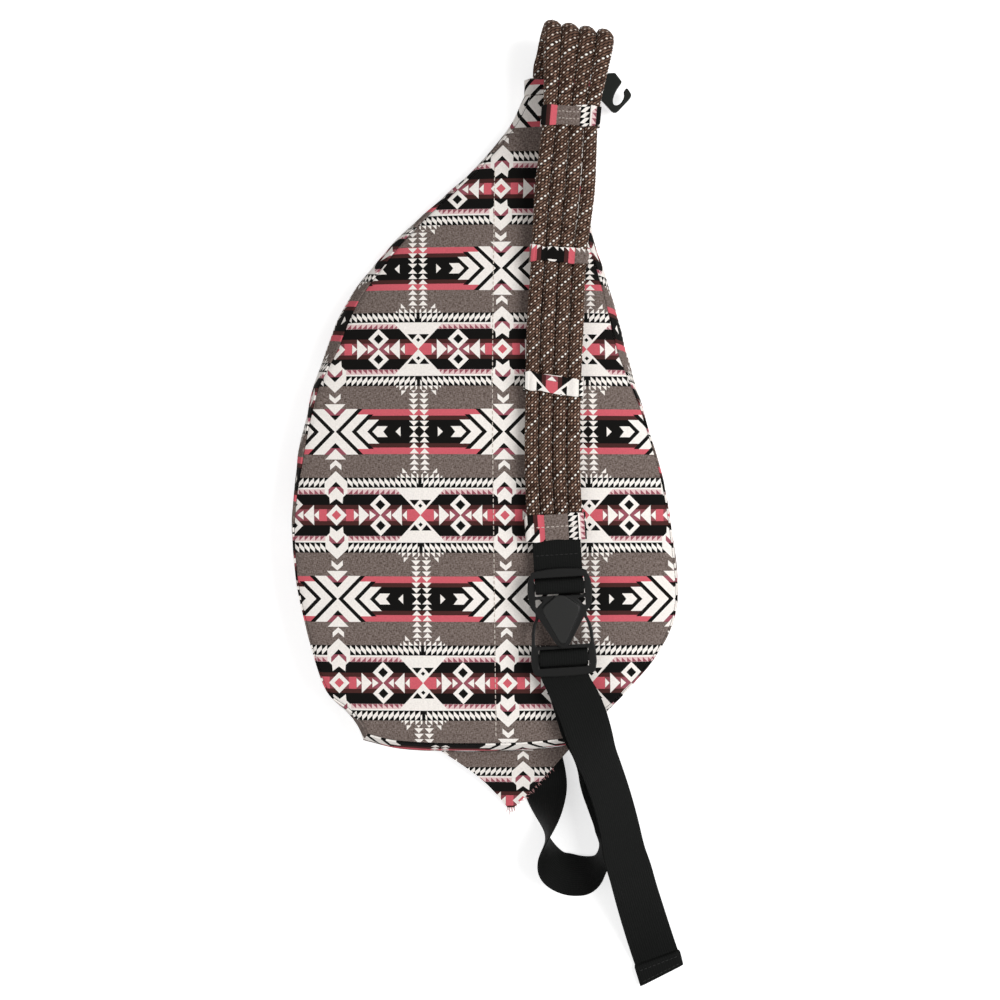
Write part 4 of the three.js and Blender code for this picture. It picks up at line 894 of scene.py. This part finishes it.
def woven_finish(name, pitch, dark, light, relief, **constants):
    """A weave of ribs along the cloth, of one pitch in millimetres, and picks across it at half of that."""
    material, tree, shader = new_material(name, **constants)
    place = add_node(tree, "UVMap", uv_map="cloth")
    scale = WAVE_LENGTH / (pitch * MM)
    ribs = add_node(tree, "TexWave", place, scale, bands_direction="X")
    picks = add_node(tree, "TexWave", place, 2 * scale, bands_direction="Y")
    weave = add_node(tree, "Math", ribs, picks, operation="MULTIPLY")
    # painted highlight and shade: the tone is lighter where the weave stands high and darker in its grooves
    tone = add_node(tree, "Mix", weave, linear(dark), linear(light), data_type="RGBA")
    connect(tree, tone, shader, "Base Color")
    connect(tree, add_node(tree, "Bump", 0.6, relief * MM, None, weave), shader, "Normal")
    return material


# woven polypropylene: black and matt with a faint gloss, and ribs that are drawn 1.7 mm apart to show; their
# crests get a painted highlight and the grooves between them painted shade
webbing = woven_finish("black_polypropylene_webbing", 1.7, "#0b0c0b", "#191a19", 0.25,
                       roughness=0.7, specular_ior_level=0.12)
print("finish:", webbing.name)

# %% Strap tools
STRAP_WIDTH, STRAP_THICKNESS, STRAP_STEP, STRAP_COLUMNS = 34, 1.5, 1.0, 19
# how much wider the strap gets with each layer of its hem, and the steps over which its turns are eased
HEM_FLARE = 0.03
EASED_OVER = 13
STRAP_POINTS = 900
# how much thinner the strap is at its selvedges, and how suddenly
SELVEDGE_THINNING, SELVEDGE_POWER = 0.45, 12
# heights of the two halves of the buckle, and places of their bars along the strap
FRAME_BASE, FRAME_TOP, HOOK_BASE, HOOK_TOP = 57.5, 60.7, 61.0, 64.4
HOOK_BAR, FRAME_BAR, BAR_LENGTH = 27.8, -23.0, 4.8
# how far the strap's middle stands above the bar at its edges and over its flat top, and hangs below the base
# before the bar and after it
BAR_EDGE, BAR_FLAT, BAR_BEFORE, BAR_AFTER = 0.76, 1.71, 1.9, 1.14
# how far the strap's middle stands off the bar's end
BAR_END = 2


def round_bar(bar, top, base, rises=BAR_END):
    """The strap's line over a bar of the buckle, along the strap and in height. It rises before the bar."""
    end = bar - BAR_LENGTH
    middle = (base + top) / 2
    return [
        (bar + rises, base - BAR_BEFORE), (bar + rises, middle), (bar + 0.8 * rises, top + BAR_EDGE),
        (bar - 0.8, top + BAR_FLAT), (end + 0.8, top + BAR_FLAT),
        (end - 0.8 * BAR_END, top + BAR_EDGE), (end - BAR_END, middle), (end - BAR_END, base - BAR_AFTER),
    ]


def buckle_stations(route, heading, tilt):
    return [(*on_buckle(along, z), heading, tilt, 1) for along, z in route]


def eased(values):
    """A moving average along the strap, so that it turns without a kink."""
    padded = np.pad(values, EASED_OVER // 2, mode="edge")
    return np.convolve(padded, np.full(EASED_OVER, 1 / EASED_OVER), mode="valid")


def strap(name, node, stations):
    stations = np.array(stations, float)
    length = lengths_along(smooth_line(stations[:, :3], STRAP_POINTS)[0])[-1]
    line, at = smooth_line(stations[:, :3], round(length / STRAP_STEP))
    heading, tilt, layers = [np.interp(at, np.arange(len(stations)), column) for column in stations[:, 3:].T]
    heading, tilt = np.radians(eased(heading)), np.radians(eased(tilt))
    across = np.stack([np.cos(heading) * np.cos(tilt), np.sin(heading) * np.cos(tilt), np.sin(tilt)], axis=1)
    normal = unit(np.cross(np.gradient(line, axis=0), across))
    share = np.linspace(-0.5, 0.5, STRAP_COLUMNS)
    width = STRAP_WIDTH * (1 + HEM_FLARE * (layers - 1))
    flat = line[:, None] + across[:, None] * (share * width[:, None])[..., None]
    edge = 1 - SELVEDGE_THINNING * np.abs(2 * share) ** SELVEDGE_POWER
    half = 0.5 * STRAP_THICKNESS * normal[:, None] * (layers[:, None] * edge[None])[..., None]
    points, faces = shell((flat + half) * MM, (flat - half) * MM)
    along = np.linspace(0, length, len(line))
    uv = np.stack(np.meshgrid(share * STRAP_WIDTH, along), axis=-1).reshape(-1, 2) * MM
    piece = make_piece(name, points, faces, webbing, [node], uv=np.vstack([uv, uv]), crease=50)
    print(name, round(length), "mm long")
    return piece


# %% Straps
upper_route = [(63.8, 57.95), (56.5, 57.95), (35, 59.1), *round_bar(HOOK_BAR, HOOK_TOP, HOOK_BASE),
               (27.8, 54.92), (35, 55.3), (56.5, 56.05), (63.8, 56.05)]
upper_strap = strap("upper_strap", "upper_webbing", buckle_stations(upper_route, 3.6, 0))

# x, y, z in millimetres, then heading and tilt of the strip in degrees, and its layers
FROM_TAB = [
    (40.5, -192, 12.8, 14, 6, 1), (43, -203, 8.6, 12, 9, 1), (44.5, -213, 8, 8, 18, 1),
    (44.6, -229, 14.2, 0, 50, 1), (44.8, -247, 18.4, 0, 90, 1),
]
LOOP = [
    (45.9, -260, 16.6, 10, 116, 1), (50.1, -270, 13.8, 35, 133, 1), (58.6, -275.4, 12.8, 65, 138, 1),
    (68, -277, 13.7, 88, 134, 1), (76, -275.8, 15.3, 98, 126, 1), (82.5, -271.4, 17.3, 106, 109, 1),
    (87, -264.1, 17.6, 135, 94, 1), (93.3, -254.5, 14.4, 168, 126, 1), (96.3, -243.4, 9.2, 188, 153, 1),
    (93.4, -230, 7.4, 195, 161, 1), (88.2, -212.6, 9.5, 195, 178, 1), (83.2, -194.5, 21, 195, 203, 1),
    (78.8, -181.5, 32.5, 195, 203, 1), (71.6, -165.7, 43.5, 194, 195, 1), (67, -150, 49.6, 190, 187, 1),
    (62.7, -137, 52.8, 186, 182, 1),
]
frame_route = [(-38.2, 52.1), (-27.8, 52.1), *round_bar(FRAME_BAR, FRAME_TOP, FRAME_BASE, rises=2.9),
               (-38.2, 56.17)]
TAIL = [
    (62.8, -136, 57.4, 187, 182, 1), (69.3, -151.1, 55, 191, 188, 1), (74.6, -167, 49.2, 195, 195, 1),
    (79.8, -182.8, 41, 196, 207, 1), (84.2, -193.6, 36, 197, 211, 1), (88.2, -204.4, 32, 197, 212, 1),
    (93.1, -219.6, 29.5, 196, 212, 1), (97.4, -236.4, 28.5, 195, 210, 1), (101.7, -257.7, 29, 196, 203, 1),
    (105.6, -269.9, 29, 197, 200, 1), (111.3, -289.8, 21, 197, 197, 1), (121, -321, 8, 197, 188, 1),
    (127.7, -341.2, 2.3, 198, 181, 1), (128.2, -342.4, 3, 199, 180, 3), (131.6, -354.2, 3, 208, 180, 3),
]
lower_stations = FROM_TAB + LOOP + buckle_stations(frame_route, 183.6, 180) + TAIL
lower_strap = strap("lower_strap", "lower_webbing", lower_stations)

# %% [markdown]
# ## Moulded buckle and hook
# The buckle's two halves and the small hook are moulded, so no edge is sharp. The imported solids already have
# their true shapes. A copy of each gets its edges rounded, which is what catches the light on the real one.

# %% Rounded copies
VOXEL = 0.35
SMOOTHING_PASSES = 4
WELD = 0.01
FLAT_WITHIN, EDGE_OVER = math.radians(1), math.radians(35)
CLOTH_ROUNDING, CAST_ROUNDING, ROUNDING_SEGMENTS = 0.4, 0.25, 3


def soften(piece):
    """Round a moulded piece all over: cut it into small voxels and let its surface relax."""
    voxels = piece.modifiers.new("voxels", "REMESH")
    voxels.voxel_size = VOXEL * MM
    voxels.use_smooth_shade = True
    piece.modifiers.new("relaxed surface", "SMOOTH").iterations = SMOOTHING_PASSES


def rounded_copy(name, node, finish, rounding=0, body="bag", cloth=None):
    """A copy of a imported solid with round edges, or soft all over where no rounding is given. Cloth says
    which two axes its own coordinates follow."""
    shape = bmesh.new()
    shape.from_mesh(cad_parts[node].data)
    bmesh.ops.remove_doubles(shape, verts=shape.verts, dist=WELD * MM)
    bmesh.ops.dissolve_limit(shape, angle_limit=FLAT_WITHIN, verts=shape.verts, edges=shape.edges)
    mesh = bpy.data.meshes.new(name)
    shape.to_mesh(mesh)
    shape.free()
    mesh.polygons.foreach_set("use_smooth", [True] * len(mesh.polygons))
    if cloth:
        layer = mesh.uv_layers.new(name="cloth")
        for loop, place in zip(mesh.loops, layer.data):
            place.uv = [mesh.vertices[loop.vertex_index].co[axis] for axis in cloth]
    piece = place_piece(name, mesh, finish, [node], body)
    if not rounding:
        soften(piece)
        return piece
    bevel = piece.modifiers.new("rounded edges", "BEVEL")
    bevel.width = rounding * MM
    bevel.segments = ROUNDING_SEGMENTS
    bevel.angle_limit = EDGE_OVER
    piece.modifiers.new("even shading", "WEIGHTED_NORMAL").keep_sharp = True
    return piece


# %% Moulded pieces
# moulded nylon: nearly black and satin, from a mould with a fine grain that is drawn 0.5 mm wide
buckle_nylon = mottled_finish("black_nylon_moulding", "#080807", "#10100f", 0.5, 0.03,
                              roughness=0.38, ior=1.53, specular_ior_level=0.25)
# its thumb pad stands higher, and its face is painted a lighter grey: a painted sheen for its roughened face,
# which scatters more light than the smooth plate round it
PAD_STARTS, PAD_FULL = (HOOK_TOP + 0.7) * MM, (HOOK_TOP + 1.2) * MM
tree, shader = buckle_nylon.node_tree, buckle_nylon.node_tree.nodes["Principled BSDF"]
plain_tone = shader.inputs["Base Color"].links[0].from_socket
place = add_node(tree, "TexCoord").outputs["Object"]
height = add_node(tree, "SeparateXYZ", place).outputs["Z"]
on_pad = add_node(tree, "MapRange", height, PAD_STARTS, PAD_FULL)
# painted sheen: the raised pad's face gets a lighter base colour than the plate round it
painted_pad_sheen = add_node(tree, "Mix", on_pad, plain_tone, linear("#232322"), data_type="RGBA")
connect(tree, painted_pad_sheen, shader, "Base Color")
# moulded polypropylene of the small hook: flatter and a little greener
hook_plastic = mottled_finish("dark_polypropylene_hook", "#161a17", "#1d211d", 0.6, 0.03,
                              roughness=0.55, ior=1.49, specular_ior_level=0.25)
rounded_copy("moulded_hook_half", "hook_buckle", buckle_nylon)
rounded_copy("moulded_frame_half", "frame_buckle", buckle_nylon)
rounded_copy("moulded_hang_hook", "hang_hook", hook_plastic)
print("moulded pieces ready")

# %% [markdown]
# ## Front panel and zips
# The side that lies on the floor has a flat panel with two long zips. Each zip lies in a recess, with a
# canvas facing that slopes up to it. A zip is two woven tapes, each with a coil of nylon wire sewn along
# its edge, and a die-cast slider with a pull. The coils are real helices here, because a zip without teeth
# reads as a slot.

# %% Front panel
# plain woven lining: dull, with a fine weave that is drawn 1.5 mm wide
lining = woven_finish("plain_woven_lining", 1.5, "#302c2a", "#453f3c", 0.1,
                      roughness=0.9, specular_ior_level=0.1)
front_panel = rounded_copy("canvas_front_panel", "front_panel", canvas, CLOTH_ROUNDING,
                           cloth=(0, 1))
rounded_copy("lining_divider", "divider", lining, CLOTH_ROUNDING, cloth=(1, 2))
for side in ("left", "right"):
    rounded_copy(f"{side}_canvas_facing", f"{side}_zip_facing", canvas, CLOTH_ROUNDING,
                 cloth=(0, 1))
print("front panel ready")

# %% Zip tapes and coils
TAPE_INNER, TAPE_OUTER, TAPE_THICKNESS = 2.6, 12, 0.9
TAPE_ROWS, TAPE_COLUMNS = 90, 8
COIL_MIDDLE, COIL_DROP, COIL_SHORT = 1.95, 1.45, 4.1
COIL_HALF_WIDTH, COIL_HALF_HEIGHT = 0.86, 1.06
WIRE, COIL_PITCH, COIL_STEPS, WIRE_SIDES = 0.7, 1.5, 14, 5
# woven polyester tape: charcoal, with fine ribs along it that are drawn 0.9 mm apart
tape_weave = woven_finish("woven_polyester_zip_tape", 0.9, "#1d1b1b", "#2d2a2a", 0.15,
                          roughness=0.8, specular_ior_level=0.15)
# nylon wire of the coil: smooth and a little glossy
coil_nylon = mottled_finish("nylon_zip_coil", "#211f1f", "#2b2928", 2, 0.01, roughness=0.4, ior=1.53)
# zinc casting with dark enamel: smooth, glossy, a little uneven
zip_enamel = mottled_finish("dark_enamelled_zinc", "#2c2a28", "#3b3835", 1.2, 0.02, roughness=0.35)


def zip_half(name, node, centre_x):
    low, high = [np.array(corner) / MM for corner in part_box(node)]
    side = math.copysign(1, low[0] + high[0] - 2 * centre_x)
    x = centre_x + side * np.linspace(TAPE_INNER, TAPE_OUTER, TAPE_COLUMNS)
    y = np.linspace(low[1], high[1], TAPE_ROWS)
    flat = np.stack([*np.meshgrid(x, y), np.full((len(y), len(x)), high[2])], axis=-1)
    uv = (flat[..., :2] * MM).reshape(-1, 2)
    points, faces = shell(flat * MM, (flat - (0, 0, TAPE_THICKNESS)) * MM)
    make_piece(f"{name}_tape", points, faces, tape_weave, [node], uv=np.vstack([uv, uv]))
    run = high[1] - low[1] - 2 * COIL_SHORT
    turns = round(run / COIL_PITCH)
    angle = np.linspace(0, 2 * math.pi * turns, turns * COIL_STEPS) + math.pi * (side > 0)
    coil = np.stack([centre_x + side * (COIL_MIDDLE - COIL_HALF_WIDTH * np.cos(angle)),
                     low[1] + COIL_SHORT + np.linspace(0, run, len(angle)),
                     high[2] - COIL_DROP + COIL_HALF_HEIGHT * np.sin(angle)], axis=1)
    points, faces = tubes([coil * MM], WIRE / 2 * MM, WIRE_SIDES)
    make_piece(f"{name}_coil", points, faces, coil_nylon, crease=180)
    print(name, turns, "turns of coil")


for side in ("left", "right"):
    boxes = np.array([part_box(f"{side}_zip_tape_{half}") for half in "ab"]) / MM
    centre_x = (boxes[:, 0, 0].min() + boxes[:, 1, 0].max()) / 2
    for half in "ab":
        zip_half(f"{side}_zip_{half}", f"{side}_zip_tape_{half}", centre_x)
    for part in ("slider", "pull"):
        rounded_copy(f"{side}_cast_{part}", f"{side}_zip_{part}", zip_enamel, CAST_ROUNDING,
                     f"{side}_{part}")

# %% [markdown]
# ## Stitching
# Rows of sewing show on the back panel, the first keeper, the cap, the webbing and round the zips. A row could
# be a dashed line in the finish, but real stitches stand a little proud and dip into the cloth at each end, so
# each one is a short tube that is dropped on the surface below it.

# %% Stitch tool
STITCH_LIFT = np.array([-0.5, 0.25, 0.4, 0.25, -0.5])
STITCH_SHAPE = np.array([0.7, 1, 1, 1, 0.7])
STITCH_SIDES = 6


def stitch_rows(name, piece, rows, stitch, thread, sky=1):
    """Rows of stitches along lines in plan, in millimetres, on a piece seen from above (sky 1) or below. A
    stitch is its length, the gap after it and the thickness of its thread."""
    dash, gap, thickness = stitch
    corners = [vertex.co for vertex in piece.data.vertices]
    surface = BVHTree.FromPolygons(corners, [list(face.vertices) for face in piece.data.polygons])
    stitches = []
    for row in rows:
        line = smooth_line(row, CURVE_POINTS)[0]
        along = lengths_along(line)
        for start in np.arange(0, along[-1] - dash, dash + gap):
            wanted = start + dash * np.linspace(0, 1, len(STITCH_LIFT))
            plan = np.stack([np.interp(wanted, along, column) for column in line.T], axis=1) * MM
            hits = [surface.ray_cast(Vector((*place, sky)), Vector((0, 0, -sky)))[0] for place in plan]
            if None not in hits:
                lift = sky * thickness * MM * STITCH_LIFT
                stitches.append(np.array(hits) + np.stack([0 * lift, 0 * lift, lift], axis=1))
    points, faces = tubes(stitches, thickness / 2 * MM * STITCH_SHAPE, STITCH_SIDES)
    make_piece(name, points, faces, thread, crease=60)
    print(name, len(stitches), "stitches")


# %% Stitches
# spun polyester thread: pale or black, matt, with the twist too fine to see
pale_thread = mottled_finish("pale_polyester_thread", "#b9ada2", "#e4dbd1", 1.5, 0.02, roughness=0.8)
black_thread = mottled_finish("black_polyester_thread", "#0c0c0c", "#1d1d1c", 1.5, 0.02, roughness=0.7)
TOPSTITCH_ROW = [(7.1, 243), (5.6, 71.5), (6.7, -43), (8.1, -171)]
stitch_rows("back_topstitch", back_panel, [TOPSTITCH_ROW], (2.9, 1.0, 0.7), pale_thread)


def across_strap(along, half_width):
    """A straight row across the strap's own line through the buckle."""
    middle, sideways = on_buckle(along)[:2], np.array([math.cos(BUCKLE_TURN), math.sin(BUCKLE_TURN)])
    return [middle - sideways * half_width, middle, middle + sideways * half_width]


STRAP_STITCH = (2.6, 0.8, 0.7)
stitch_rows("cap_stitches", rope_cap, [across_strap(67.5, 17)], (2.2, 1.2, 0.6), pale_thread)
stitch_rows("upper_strap_stitches", upper_strap, [across_strap(47.5, 15.5)], STRAP_STITCH, black_thread)
first_keeper = ROPE_ROUTE[KEEPERS[0][0], :2]
keeper_rows = [[first_keeper + (-9, shift), first_keeper + (0, shift - 0.6), first_keeper + (6, shift - 1)]
               for shift in (-2.2, 2.6)]
stitch_rows("keeper_stitches", keepers[0], keeper_rows, (1.6, 1.0, 0.5), pale_thread)
# middle of each row on the hem, and its slant in degrees
HEM_ROWS, HEM_REACH = [(128.9, -345, 21), (130.9, -351.8, 26.5)], 15
hem_rows = []
for x, y, slant in HEM_ROWS:
    reach = HEM_REACH * np.array([math.cos(math.radians(slant)), math.sin(math.radians(slant))])
    hem_rows.append([(x, y) - reach, (x, y), (x, y) + reach])
stitch_rows("hem_stitches", lower_strap, hem_rows, STRAP_STITCH, black_thread)

# %% Stitches round the zips
SEAM_FROM_FACING = 3


def stadium(node, distance):
    """A line round a long node with round ends, at a distance from it in plan."""
    low, high = [np.array(corner[:2]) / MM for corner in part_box(node)]
    radius = (high[0] - low[0]) / 2 + distance
    turn = np.linspace(0, math.pi, 13)
    arc = np.stack([np.cos(turn), np.sin(turn)], axis=1) * radius
    top = arc + ((low[0] + high[0]) / 2, high[1] + distance - radius)
    bottom = -arc + ((low[0] + high[0]) / 2, low[1] - distance + radius)
    return np.vstack([top, bottom, top[:1]])


zip_rows = [stadium(f"{side}_zip_facing", SEAM_FROM_FACING) for side in ("left", "right")]
stitch_rows("zip_seam_stitches", front_panel, zip_rows, (2.9, 1.0, 0.5), pale_thread, sky=-1)

# %% [markdown]
# ## Floor and light
# A wide pale floor and a large soft light make a plain studio. The floor is painted nearly white, and for
# the camera and for reflections it also shines a little, so the picture's ground is white while the light
# on the bag stays at a plain level and its shadow stays on the floor.

# %% Floor
FLOOR_SIZE = 8
FLOOR_DROP = 0.5 * MM
FLOOR_GLOW = 0.6
half = FLOOR_SIZE / 2
floor_mesh = bpy.data.meshes.new("floor")
corners = [(-half, -half, 0), (half, -half, 0), (half, half, 0), (-half, half, 0)]
floor_mesh.from_pydata(corners, [], [(0, 1, 2, 3)])
floor = bpy.data.objects.new("floor", floor_mesh)
floor.location.z = -FLOOR_DROP
scene.collection.objects.link(floor)
floor_paint, tree, shader = new_material("matt_floor_paint", roughness=1.0, base_color=linear("#e8e8e8"),
                                         emission_color=(1, 1, 1, 1))
rays = add_node(tree, "LightPath").outputs
seen = add_node(tree, "Math", rays["Is Camera Ray"], rays["Is Glossy Ray"], operation="MAXIMUM")
seen = add_node(tree, "Math", seen, rays["Is Transmission Ray"], operation="MAXIMUM")
glow = add_node(tree, "Math", seen, FLOOR_GLOW, operation="MULTIPLY")
connect(tree, glow, shader, "Emission Strength")
floor_mesh.materials.append(floor_paint)
print("floor:", FLOOR_SIZE, "m wide")

# %% Light
# the camera sees a white sky, and the bag gets a plain level of light from it
SKY_STRENGTH, SKY_SEEN = 0.32, 1
world = bpy.data.worlds.new("studio")
scene.world = world
world.use_nodes = True
background = world.node_tree.nodes["Background"]
background.inputs["Color"].default_value = (1, 1, 1, 1)
rays = add_node(world.node_tree, "LightPath").outputs
sky = add_node(world.node_tree, "MapRange", rays["Is Camera Ray"], 0, 1, SKY_STRENGTH, SKY_SEEN)
connect(world.node_tree, sky, background, "Strength")


def soft_light(name, place, size, power):
    lamp = bpy.data.lights.new(name, "AREA")
    lamp.size = size
    lamp.energy = power
    holder = bpy.data.objects.new(name, lamp)
    holder.location = place
    holder.rotation_euler = (-Vector(place)).to_track_quat("-Z", "Y").to_euler()
    scene.collection.objects.link(holder)


soft_light("key_light", place=(1.15, 0.1, 1.45), size=1.0, power=24)
soft_light("fill_light", place=(-0.9, -0.6, 1.5), size=1.4, power=8)
scene.view_settings.view_transform = "Standard"
print("lights ready")
